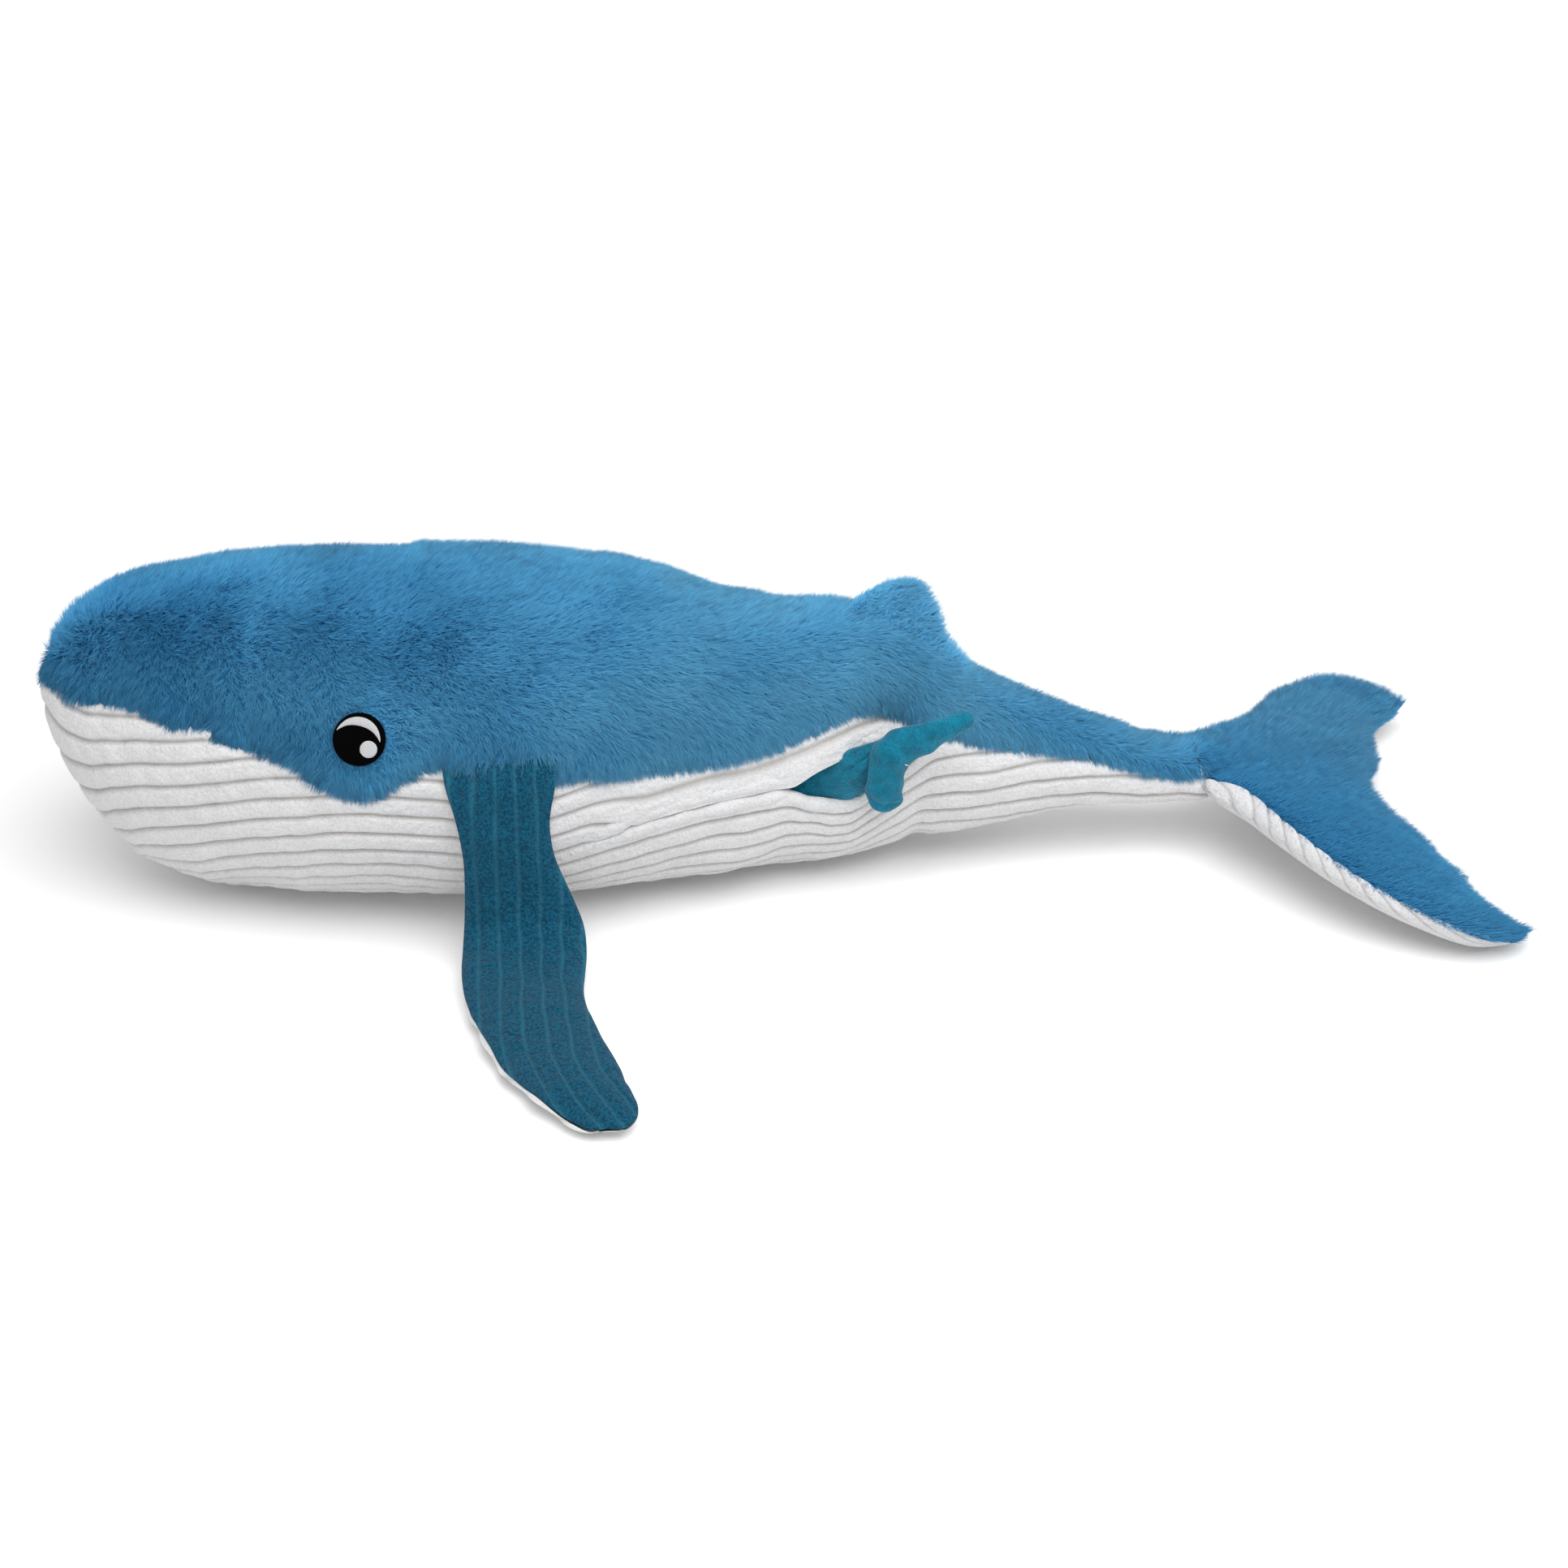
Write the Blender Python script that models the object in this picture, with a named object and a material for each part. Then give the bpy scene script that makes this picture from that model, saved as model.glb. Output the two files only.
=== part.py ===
"""A plush whale with a pouch in its left side and a small plush whale tucked into the pouch.

Metres, +Z up. The head points to -X, the left side to -Y and the belly rests on z = 0.
The origin is under the middle of the whale, between the nose and the fluke tips.

The body, the tail and the small whale are lofts: a section with its own width and height at each
station along a line. Every fabric panel is a shell between two depths under that form, and the
filling is the same form a little deeper, so the layers follow each other at any size.
Flippers and flukes are leaves: two edges, a middle surface between them and a swelling thickness.
"""
import math

import bmesh
import bpy
import numpy as np

# Whole toy
BODY_LENGTH = 0.770
BODY_HEIGHT = 0.217
BODY_HALF_WIDTH = 0.143
FLUKE_REACH = 0.180
NOSE_X = -(BODY_LENGTH + FLUKE_REACH) / 2
SEAM_GAP = 0.0003
PANEL_GAP = 0.0005
FLOOR_CUT = 0.0005
OVERRUN = 0.02

# Fabrics and filling of the large whale, as depths and thicknesses
FUR_THICKNESS = 0.008
RIB_SINK = 0.003
RIB_THICKNESS = 0.005
FILLING_GAP = 0.0004
LINING_THICKNESS = 0.0025

# Stations of the body: place along it, top, bottom and half width
BODY_STATION_SHARES = np.array([
    (0.000, 0.654, 0.645, 0.014),
    (0.010, 0.756, 0.535, 0.238),
    (0.039, 0.871, 0.323, 0.476),
    (0.091, 0.949, 0.101, 0.664),
    (0.169, 0.991, 0.009, 0.825),
    (0.279, 1.000, 0.000, 0.951),
    (0.409, 0.968, 0.000, 1.000),
    (0.539, 0.894, 0.000, 0.797),
    (0.643, 0.816, 0.018, 0.594),
    (0.721, 0.737, 0.046, 0.476),
    (0.799, 0.571, 0.088, 0.378),
    (0.890, 0.419, 0.143, 0.294),
    (1.000, 0.336, 0.161, 0.224),
])
HEAD_CAP_SHARE = 0.17
UPPER_ROUNDNESS = 2.0
LOWER_ROUNDNESS = 2.5

# Height of the seam between fur and ribbed fabric, as a share of the half height over the middle
SEAM_HEIGHT_SHARES = np.array([
    (0.00, 0.15), (0.05, 0.24), (0.11, 0.34), (0.17, 0.32), (0.22, 0.16), (0.26, 0.07),
    (0.29, 0.03), (0.32, 0.10), (0.35, 0.19), (0.45, 0.19), (0.50, 0.13), (0.58, 0.22),
    (0.64, 0.36), (0.71, 0.40), (0.76, 0.34), (0.84, 0.40), (0.92, 0.36), (1.00, 0.20),
])

# Rings and segments of the lofts
BODY_RINGS = 17
TAIL_RINGS = 6
SECTOR_SEGMENTS = 12

# Tail joint and fluke joint
TAIL_JOINT_SHARE = 0.844
TAIL_BEND_LIMIT = math.radians(12)
FLUKE_BEND_LIMIT = math.radians(15)

# Flukes: seen from above, each row is one line from the leading to the trailing edge,
# as shares of reach and half span, with the half thickness there
FLUKE_HALF_SPAN = 0.180
FLUKE_HALF_THICKNESS = 0.0165
FLUKE_TIP_LIFT = 0.009
FLUKE_EDGE = 0.0022
FLUKE_FUR = 0.0060
FLUKE_RIB = 0.0045
FLUKE_ROW_SHARES = np.array([
    (0.00, 0.000, 0.000, 0.650, 0.000, 1.00),
    (0.15, 0.000, 0.200, 0.685, 0.135, 1.00),
    (0.24, 0.070, 0.345, 0.725, 0.225, 1.00),
    (0.42, 0.185, 0.560, 0.785, 0.420, 0.95),
    (0.60, 0.330, 0.765, 0.840, 0.590, 0.86),
    (0.78, 0.520, 0.925, 0.895, 0.715, 0.74),
    (0.91, 0.740, 1.000, 0.950, 0.800, 0.60),
    (1.00, 0.930, 0.950, 1.000, 0.870, 0.36),
])
FLUKE_ROWS = 15
FLUKE_COLUMNS = 8

# Flippers: the middle line seen from ahead runs down the side and out along the floor
FLIPPER_ROOT_SHARE = 0.5576
FLIPPER_ROOT_Z = BODY_HEIGHT * FLIPPER_ROOT_SHARE
FLIPPER_REACH = 0.207
FLIPPER_HALF_THICKNESS = 0.0105
FLIPPER_ROOT_HALF_THICKNESS = 0.0060
FLIPPER_TUCK = 0.0020
FLIPPER_EDGE = 0.0020
FLIPPER_SKIN = 0.0035
FLIPPER_WIDTH = 0.078
FLIPPER_AHEAD_SHARE = 0.3515
FLIPPER_ROWS = 14
FLIPPER_COLUMNS = 8
# place along the flipper, outward share of reach, height share of the root height
FLIPPER_LINE_SHARES = np.array([
    (0.00, 0.000, 1.000), (0.10, 0.015, 0.780), (0.22, 0.025, 0.480), (0.30, 0.050, 0.260),
    (0.38, 0.150, 0.125), (0.46, 0.290, 0.092), (0.60, 0.480, 0.090), (0.74, 0.700, 0.088),
    (0.88, 0.880, 0.080), (1.00, 1.000, 0.062),
])
# place along the flipper, leading edge and trailing edge as shares of the width, half thickness
FLIPPER_OUTLINE_SHARES = np.array([
    (0.00, 0.00, 0.90, 0.57), (0.10, 0.10, 0.82, 0.70), (0.19, 0.14, 0.87, 0.86),
    (0.30, 0.12, 1.07, 1.00), (0.38, 0.10, 1.10, 1.00), (0.45, 0.13, 1.07, 1.00),
    (0.55, 0.21, 1.12, 0.98), (0.65, 0.35, 1.23, 0.95), (0.75, 0.52, 1.38, 0.90),
    (0.85, 0.75, 1.47, 0.80), (0.94, 0.97, 1.53, 0.62), (1.00, 1.14, 1.49, 0.34),
])

# Dorsal fin: height, middle, half length and half thickness of its level sections
FIN_BASE_X = 0.090
FIN_TOP_SHARE = 0.8986
FIN_TOP_Z = BODY_HEIGHT * FIN_TOP_SHARE
FIN_HEIGHT = 0.065
FIN_HALF_LENGTH = 0.044
FIN_HALF_THICKNESS = 0.015
FIN_SKIN = 0.0045
FIN_SECTION_SHARES = np.array([
    (-0.15, 0.10, 0.98, 1.00), (0.00, 0.07, 0.97, 1.00), (0.30, -0.11, 0.79, 0.95), (0.55, -0.20, 0.75, 0.86),
    (0.785, -0.26, 0.65, 0.74), (0.92, -0.13, 0.38, 0.56), (1.00, -0.05, 0.18, 0.28),
])
FIN_OVERRUN_SHARE = 0.3
FIN_SEGMENTS = 16

# Eyes of the large whale, embroidered patches in the fur
EYE_ALONG_SHARE = 0.285
EYE_HEIGHT_SHARE = 0.330
EYE_RADIUS = 0.0165
EYE_THICKNESS = 0.003
EYE_PROUD = 0.0008
EYE_RIM = 0.0023
EYE_WHITE_THICKNESS = 0.0008
EYE_CRESCENT_DEPTH = 0.0050
EYE_GLINT_RADIUS = 0.0056
EYE_GLINT_BACK = 0.0070
EYE_GLINT_DOWN = 0.0062
EYE_SIDES = 32

# Pouch: a long rounded mouth in the left side, closed by two lips, with a lined bag behind it
POUCH_CENTRE_X = -0.0115
POUCH_CENTRE_SHARE = 0.3525
POUCH_CENTRE_Z = BODY_HEIGHT * POUCH_CENTRE_SHARE
POUCH_HALF_LENGTH = 0.0955
POUCH_HALF_HEIGHT = 0.0325
POUCH_FLOOR_Y = -0.027
POUCH_SLANT = 0.32
POUCH_DEPTH = 0.0665
POUCH_END_SIDES = 10
LIP_GAP = 0.0045
LIP_RISE = 0.0110
LIP_Z = POUCH_CENTRE_Z + LIP_RISE
# lower edge of the upper lip and upper edge of the lower lip, as shares of the mouth's half length
# either way from its middle and of its half height over the line where the lips meet
UPPER_LIP_SHARES = [(-1.10, 0.00), (0.02, 0.00), (0.12, 0.30), (0.24, 0.80)]
LOWER_LIP_SHARES = [(-1.10, 0.00), (0.04, 0.00), (0.14, -0.26), (0.26, -0.60), (0.50, -0.62),
                    (0.72, -0.36), (0.88, 0.10), (1.10, 0.40)]

# Small whale: line of its middle, half depth from back to belly and half width
BABY_NOSE_X = -0.0970
BABY_BACK_DEPTH = 0.0120
BABY_LENGTH = 0.166
BABY_HALF_DEPTH = 0.0215
BABY_HALF_WIDTH = 0.0220
BABY_FABRIC = 0.0025
BABY_OUTWARD = 0.0470
BABY_LIFT = 0.0385
BABY_RISE = 0.0010
BABY_Z = POUCH_CENTRE_Z + BABY_RISE
# along, out through the mouth, upwards, half depth, half width
BABY_STATION_SHARES = np.array([
    (0.000, 0.00, 0.00, 0.10, 0.10), (0.030, 0.00, 0.00, 0.42, 0.46),
    (0.110, 0.00, 0.00, 0.80, 0.84), (0.250, 0.00, 0.00, 1.00, 1.00),
    (0.430, 0.00, 0.00, 1.00, 1.00), (0.600, 0.05, 0.03, 0.82, 0.82),
    (0.740, 0.34, 0.20, 0.64, 0.64), (0.860, 0.72, 0.46, 0.50, 0.50),
    (0.940, 0.92, 0.70, 0.42, 0.42), (1.000, 1.00, 0.95, 0.36, 0.38),
])
BABY_CAP_SHARE = 0.20
BABY_RINGS = 13
BABY_SEGMENTS = 8
# seam between back and belly fabric: share of the half depth towards the back
BABY_SEAM_SHARES = np.array([
    (0.00, 0.30), (0.12, 0.16), (0.22, -0.28), (0.34, -0.36), (0.46, -0.60),
    (0.60, -0.80), (0.72, -0.90), (1.00, -0.92),
])
BABY_EYE_SHARE = 0.265
BABY_EYE_RADIUS = 0.0062
BABY_EYE_THICKNESS = 0.0016
BABY_EYE_PROUD = 0.0006
BABY_EYE_WHITE_THICKNESS = 0.0005
BABY_EYE_CRESCENT_DEPTH = 0.0022
BABY_EYE_RIM = 0.0009
BABY_EYE_SIDES = 20

# Flippers of the small whale, folded back along its belly side
BABY_FLIPPER_SHARE = 0.36
BABY_FLIPPER_LENGTH = 0.056
BABY_FLIPPER_HALF_WIDTH = 0.0085
BABY_FLIPPER_HALF_THICKNESS = 0.0032
BABY_FLIPPER_SPREAD = 0.0150
BABY_FLIPPER_TUCK = 0.0005
BABY_FLIPPER_SEGMENTS = 10
BABY_FLIPPER_RINGS = 7

# Flukes of the small whale, outside the pouch with their upper side outwards
BABY_FLUKE_REACH = 0.037
BABY_FLUKE_HALF_SPAN = 0.046
BABY_FLUKE_HALF_THICKNESS = 0.0075
BABY_FLUKE_EDGE = 0.0012
BABY_FLUKE_SKIN = 0.0020
BABY_FLUKE_TURN = math.radians(-33)
BABY_FLUKE_TUCK = 0.0012
BABY_FLUKE_ROW_SHARES = np.array([
    (0.00, 0.00, 0.00, 0.62, 0.00, 1.00), (0.18, 0.00, 0.18, 0.66, 0.14, 1.00),
    (0.45, 0.18, 0.50, 0.80, 0.34, 0.96), (0.72, 0.42, 0.80, 0.92, 0.56, 0.90),
    (0.90, 0.66, 0.98, 0.99, 0.78, 0.78), (1.00, 0.82, 1.00, 0.96, 0.90, 0.50),
])
BABY_FLUKE_ROWS = 9
BABY_FLUKE_COLUMNS = 6

# Colours, roughness
FUR_BLUE = (0.060, 0.205, 0.380)
RIB_WHITE = (0.760, 0.760, 0.770)
FLIPPER_TEAL = (0.020, 0.120, 0.215)
BABY_TEAL = (0.012, 0.185, 0.270)
FILLING_WHITE = (0.850, 0.850, 0.830)
EYE_BLACK = (0.006, 0.006, 0.008)
EYE_WHITE = (0.800, 0.800, 0.820)
FABRIC_ROUGHNESS = 0.95
THREAD_ROUGHNESS = 0.60


def clear_scene():
    """Remove every object of the scene, so the toy stands alone."""
    for thing in list(bpy.data.objects):
        bpy.data.objects.remove(thing, do_unlink=True)


def new_collection(name):
    """A collection linked to the scene."""
    found = bpy.data.collections.new(name)
    bpy.context.scene.collection.children.link(found)
    return found


def make_material(name, colour, roughness):
    """A plain cloth or thread material."""
    made = bpy.data.materials.new(name)
    made.use_nodes = True
    shader = made.node_tree.nodes["Principled BSDF"]
    shader.inputs["Base Color"].default_value = (*colour, 1.0)
    shader.inputs["Roughness"].default_value = roughness
    shader.inputs["Metallic"].default_value = 0.0
    made.diffuse_color = (*colour, 1.0)
    return made


def glide(rows, column, at):
    """Smooth curve through one column of a table whose first column is the place.

    A cubic between neighbouring rows whose slopes never carry it past their values.
    """
    places = rows[:, 0]
    values = rows[:, column]
    steps = np.diff(places)
    rises = np.diff(values) / steps
    before = rises[:-1]
    after = rises[1:]
    same_way = before * after > 0
    joined = np.where(same_way, before + after, 1.0)
    slopes = np.zeros(len(values))
    slopes[1:-1] = np.where(same_way, 2 * before * after / joined, 0.0)
    slopes[0] = rises[0]
    slopes[-1] = rises[-1]
    at = np.clip(np.asarray(at, dtype=float), places[0], places[-1])
    index = np.clip(np.searchsorted(places, at, side="right") - 1, 0, len(steps) - 1)
    step = steps[index]
    t = (at - places[index]) / step
    start = (1 + 2 * t) * (1 - t) ** 2 * values[index]
    end = t ** 2 * (3 - 2 * t) * values[index + 1]
    leave = t * (1 - t) ** 2 * step * slopes[index]
    arrive = t ** 2 * (t - 1) * step * slopes[index + 1]
    return start + end + leave + arrive


def round_section(angle, upper, lower):
    """Sideways and upward shares of a rounded section at an angle from its side."""
    side = np.cos(angle)
    rise = np.sin(angle)
    power = np.where(rise >= 0, upper, lower)
    radius = (np.abs(side) ** power + np.abs(rise) ** power) ** (-1 / power)
    return radius * side, radius * rise


def shrink(size, depth, least):
    """A half size at a depth under the surface; near a closed end the whole form shrinks."""
    return size * (1 - depth / np.maximum(size, least))


def body_middle(along):
    """Height of the middle of the section, and its half height."""
    top = BODY_HEIGHT * glide(BODY_STATION_SHARES, 1, along)
    bottom = BODY_HEIGHT * glide(BODY_STATION_SHARES, 2, along) - FLOOR_CUT
    return (top + bottom) / 2, (top - bottom) / 2


def body_half_width(along):
    """Half width of the body at a place along it."""
    return BODY_HALF_WIDTH * glide(BODY_STATION_SHARES, 3, along)


def body_surface(along, angle, depth):
    """Points of the body at a depth under its surface; angle 0 is the left side, 90 the top."""
    along, angle = np.broadcast_arrays(np.asarray(along, float), np.asarray(angle, float))
    middle, tall = body_middle(along)
    wide = body_half_width(along)
    cap = np.clip(1 - along / HEAD_CAP_SHARE, 0, 1)
    cap_tall = body_middle(HEAD_CAP_SHARE)[1]
    cap_wide = body_half_width(HEAD_CAP_SHARE)
    side, rise = round_section(angle, UPPER_ROUNDNESS, LOWER_ROUNDNESS)
    x = NOSE_X + along * BODY_LENGTH + depth * cap ** 2
    y = -shrink(wide, depth, cap_wide * cap) * side
    z = middle + shrink(tall, depth, cap_tall * cap) * rise
    return np.stack([x, y, z], axis=-1)


def seam_angle(along):
    """Angle of the seam between fur and ribbed fabric above the left side."""
    return np.arcsin(glide(SEAM_HEIGHT_SHARES, 1, along))


def mesh_object(name, collection, points, faces, material):
    """An object from points and faces, with its faces turned outwards and shaded smooth."""
    mesh = bpy.data.meshes.new(name)
    mesh.from_pydata([tuple(map(float, p)) for p in points], [], faces)
    cage = bmesh.new()
    cage.from_mesh(mesh)
    quads = [face for face in cage.faces if len(face.verts) == 4]
    bmesh.ops.triangulate(cage, faces=quads, quad_method="FIXED")
    bmesh.ops.recalc_face_normals(cage, faces=cage.faces)
    cage.to_mesh(mesh)
    cage.free()
    mesh.shade_smooth()
    mesh.set_sharp_from_angle(angle=math.radians(50))
    made = bpy.data.objects.new(name, mesh)
    collection.objects.link(made)
    if material:
        mesh.materials.append(material)
    return made


def grid_faces(rows, columns, first, turned):
    """Quads of a grid of points, numbered row by row from first."""
    faces = []
    for i in range(rows - 1):
        for j in range(columns - 1):
            a = first + i * columns + j
            quad = (a, a + 1, a + columns + 1, a + columns)
            faces.append((a, a + columns, a + columns + 1, a + 1) if turned else quad)
    return faces


def border(rows, columns):
    """Indices round the edge of a grid, in order."""
    top = [j for j in range(columns)]
    right = [i * columns + columns - 1 for i in range(1, rows)]
    bottom = [(rows - 1) * columns + j for j in range(columns - 2, -1, -1)]
    left = [i * columns for i in range(rows - 2, 0, -1)]
    return top + right + bottom + left


def shell(name, collection, outer, inner, material):
    """Closed shell between two grids of points of the same shape."""
    rows, columns = outer.shape[:2]
    count = rows * columns
    faces = grid_faces(rows, columns, 0, False) + grid_faces(rows, columns, count, True)
    edge = border(rows, columns)
    for pair in zip(edge, edge[1:] + edge[:1]):
        a, b = sorted(pair)
        faces.append((a, a + count, b + count, b))
    points = np.concatenate([outer.reshape(-1, 3), inner.reshape(-1, 3)])
    return mesh_object(name, collection, points, faces, material)


def level_cap(first, sides):
    """Level strips across a ring whose second half mirrors each half of it."""
    half = sides // 2
    faces = []
    for start in (0, half):
        for j in range(half // 2):
            strip = [start + j, start + j + 1, start + half - j - 1, start + half - j]
            strip = [first + corner % sides for corner in dict.fromkeys(strip)]
            faces.append(tuple(strip))
    return faces


def tube(name, collection, rings, material, level=False):
    """Closed solid from rings of points, with a flat cap or level strips on each end ring."""
    count, sides = rings.shape[:2]
    faces = []
    for i in range(count - 1):
        for j in range(sides):
            a = i * sides + j
            b = i * sides + (j + 1) % sides
            faces.append((a, b, b + sides, a + sides))
    for first in (0, (count - 1) * sides):
        if level:
            faces += level_cap(first, sides)
        else:
            faces.append(tuple(range(first, first + sides)))
    return mesh_object(name, collection, rings.reshape(-1, 3), faces, material)


def prism(name, collection, outline, near, far):
    """Solid between an outline of (x, z) points at y = near and the same outline at y = far.

    far may be a number for each point, for a slanted end.
    """
    outline = np.array(outline, dtype=float)
    near_ring = np.stack([outline[:, 0], np.full(len(outline), near), outline[:, 1]], axis=-1)
    far_ring = np.stack([outline[:, 0], np.broadcast_to(far, len(outline)), outline[:, 1]], axis=-1)
    return tube(name, collection, np.stack([near_ring, far_ring]), None)


def combine(target, tool, operation):
    """Exact Boolean with a tool that is kept out of sight."""
    step = target.modifiers.new(f"{operation.lower()} {tool.name}", "BOOLEAN")
    step.operation = operation
    step.solver = "EXACT"
    step.object = tool
    tool.hide_render = True
    tool.display_type = "WIRE"


def body_rings(first, last, count, power):
    """Places of the rings, closer together towards the nose when power is over 1."""
    return first + (last - first) * np.linspace(0, 1, count) ** power


def bevel_end(points, row, pivot_share, limit, way):
    """Set one end ring of a form back to either side of a joint's axis, half the range each.

    way is -1 for the piece ahead of the joint and +1 for the piece behind it.
    """
    pivot_z = body_middle(pivot_share)[0]
    lean = np.abs(points[row, :, 2] - pivot_z) * math.tan(limit / 2)
    points[row, :, 0] += way * (lean + SEAM_GAP / 2)
    return points


def sector_angles(along, upper):
    """Angles of a fabric panel's points in each ring, turning from seam to seam."""
    seam = seam_angle(along)[:, None]
    share = np.linspace(0, 1, SECTOR_SEGMENTS + 1)[None, :]
    clear = PANEL_GAP / 2 / body_half_width(np.maximum(along, HEAD_CAP_SHARE / 20))[:, None]
    if upper:
        start = seam + clear
        return start + (math.pi - 2 * start) * share
    start = seam - clear
    return math.pi - start + (math.pi + 2 * start) * share


def panel_grid(along, upper, depth):
    """Points of a fabric panel at one depth."""
    return body_surface(along[:, None], sector_angles(along, upper), depth)


def body_form(along, depth):
    """Rings of the body's closed form at a depth, with the same corners as the fabric panels."""
    angles = np.concatenate([sector_angles(along, True), sector_angles(along, False)[:, 1:-1]], axis=1)
    return body_surface(along[:, None], angles, depth)


def floor_block(cutters):
    """A block under the floor that cuts the belly flat."""
    half_length = BODY_LENGTH
    corners = [(-half_length, 0.0), (half_length, 0.0), (half_length, -OVERRUN), (-half_length, -OVERRUN)]
    return prism("floor_block", cutters, corners, -BODY_HALF_WIDTH - OVERRUN, BODY_HALF_WIDTH + OVERRUN)


def build_body(parts, cutters, cloth):
    """Fur, ribbed belly and filling of the body, from the nose to the tail joint."""
    along = body_rings(0.0, TAIL_JOINT_SHARE, BODY_RINGS, 1.35)
    floor = floor_block(cutters)
    made = {}
    for name, upper, near, far, material in (
        ("back_fur", True, 0.0, FUR_THICKNESS, cloth["fur"]),
        ("belly_rib", False, RIB_SINK, RIB_SINK + RIB_THICKNESS, cloth["rib"]),
    ):
        layers = []
        for depth in (near, far):
            grid = panel_grid(along, upper, depth)
            layers.append(bevel_end(grid, -1, TAIL_JOINT_SHARE, TAIL_BEND_LIMIT, -1))
        layers[0][..., 2] -= 0.0 if upper else RIB_SINK * belly_reach(layers[0])
        made[name] = shell(name, parts, layers[0], layers[1], material)
    combine(made["belly_rib"], floor, "DIFFERENCE")
    rings = body_form(along, FUR_THICKNESS + FILLING_GAP)
    rings = bevel_end(rings, -1, TAIL_JOINT_SHARE, TAIL_BEND_LIMIT, -1)
    made["body_filling"] = tube("body_filling", parts, rings, cloth["filling"], level=True)
    return made


def belly_reach(points):
    """1 where the ribbed fabric lies on the floor and 0 on the sides."""
    _, tall = body_middle(0.3)
    return np.clip(1 - points[..., 2] / (tall / 2), 0, 1)


def build_tail(parts, cloth):
    """Fur, ribbed fabric and filling of the tail stock, between the two joints."""
    along = body_rings(TAIL_JOINT_SHARE, 1.0, TAIL_RINGS, 1.0)

    def fit_between_joints(points):
        points = bevel_end(points, 0, TAIL_JOINT_SHARE, TAIL_BEND_LIMIT, 1)
        return bevel_end(points, -1, 1.0, FLUKE_BEND_LIMIT, -1)

    for name, upper, near, far, material in (
        ("tail_fur", True, 0.0, FUR_THICKNESS, cloth["fur"]),
        ("tail_rib", False, RIB_SINK, FUR_THICKNESS, cloth["rib"]),
    ):
        outer = fit_between_joints(panel_grid(along, upper, near))
        inner = fit_between_joints(panel_grid(along, upper, far))
        shell(name, parts, outer, inner, material)
    rings = fit_between_joints(body_form(along, FUR_THICKNESS + FILLING_GAP))
    tube("tail_filling", parts, rings, cloth["filling"], level=True)


def pouch_outline(grow):
    """The rounded mouth as (x, z) points, grown all round."""
    half_height = POUCH_HALF_HEIGHT + grow
    straight = POUCH_HALF_LENGTH - POUCH_HALF_HEIGHT
    outline = []
    for end in (1, -1):
        for i in range(POUCH_END_SIDES + 1):
            turn = end * math.pi / 2 - math.pi * i / POUCH_END_SIDES
            x = POUCH_CENTRE_X + end * straight + half_height * math.cos(turn)
            outline.append((x, POUCH_CENTRE_Z + half_height * math.sin(turn)))
    return outline


def pouch_prism(name, cutters, grow):
    """The space of the pouch from outside the body to its slanted back, grown all round."""
    outline = pouch_outline(grow)
    back = [POUCH_FLOOR_Y + POUCH_SLANT * x + grow for x, _ in outline]
    return prism(name, cutters, outline, -BODY_HALF_WIDTH - OVERRUN, back)


def lip_prism(name, cutters, shares, side):
    """Everything above (side 1) or below (side -1) the edge of a lip."""
    edge = []
    for across, over in shares:
        z = LIP_Z + side * LIP_GAP / 2 + over * POUCH_HALF_HEIGHT
        edge.append((POUCH_CENTRE_X + across * POUCH_HALF_LENGTH, z))
    far_z = LIP_Z + side * (POUCH_HALF_HEIGHT + OVERRUN) * 2
    outline = edge + [(edge[-1][0], far_z), (edge[0][0], far_z)]
    return prism(name, cutters, outline, -BODY_HALF_WIDTH - OVERRUN, 0.0)


def build_pouch(parts, cutters, cloth, body):
    """Mouth, lips and lining of the pouch, cut from the body's own layers."""
    mouth = pouch_prism("pouch_space", cutters, 0.0)
    combine(body["belly_rib"], mouth, "DIFFERENCE")
    combine(body["body_filling"], pouch_prism("pouch_room", cutters, LINING_THICKNESS + SEAM_GAP), "DIFFERENCE")

    lining = pouch_prism("pouch_lining", parts, LINING_THICKNESS)
    lining.hide_render = False
    lining.data.materials.append(cloth["lining"])
    along = body_rings(0.0, TAIL_JOINT_SHARE, BODY_RINGS, 1.35)
    inside = tube("filling_form", cutters, body_form(along, FUR_THICKNESS + FILLING_GAP), None)
    combine(lining, inside, "INTERSECT")
    combine(lining, mouth, "DIFFERENCE")

    lip_space = pouch_prism("lip_space", cutters, -SEAM_GAP)
    for name, shares, side in (
        ("pouch_lip_upper", UPPER_LIP_SHARES, 1),
        ("pouch_lip_lower", LOWER_LIP_SHARES, -1),
    ):
        outer = panel_grid(along, False, RIB_SINK)
        inner = panel_grid(along, False, RIB_SINK + RIB_THICKNESS)
        lip = shell(name, parts, outer, inner, cloth["rib"])
        combine(lip, lip_space, "INTERSECT")
        combine(lip, lip_prism(f"{name}_side", cutters, shares, side), "INTERSECT")


def leaf_sections(half, edge, skin, share):
    """Half thickness of a leaf's outside and of its filling space across its width."""
    swell = np.sqrt(np.clip(1 - (2 * share - 1) ** 2, 0, 1))
    outside = edge + (half - edge) * swell
    inside = np.maximum(outside - skin, SEAM_GAP / 2)
    return outside, inside


def leaf_pieces(names, parts, middle, normal, outside, inside_up, inside_down, materials):
    """Upper skin and under skin of a leaf, which meet at its middle surface.

    middle is a grid of points, normal a grid of directions, and the rest are half thicknesses.
    """
    up_name, down_name = names
    up_material, down_material = materials
    up = normal * outside[..., None]
    shell(up_name, parts, middle + up, middle + normal * inside_up[..., None], up_material)
    shell(down_name, parts, middle - up, middle - normal * inside_down[..., None], down_material)


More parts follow.
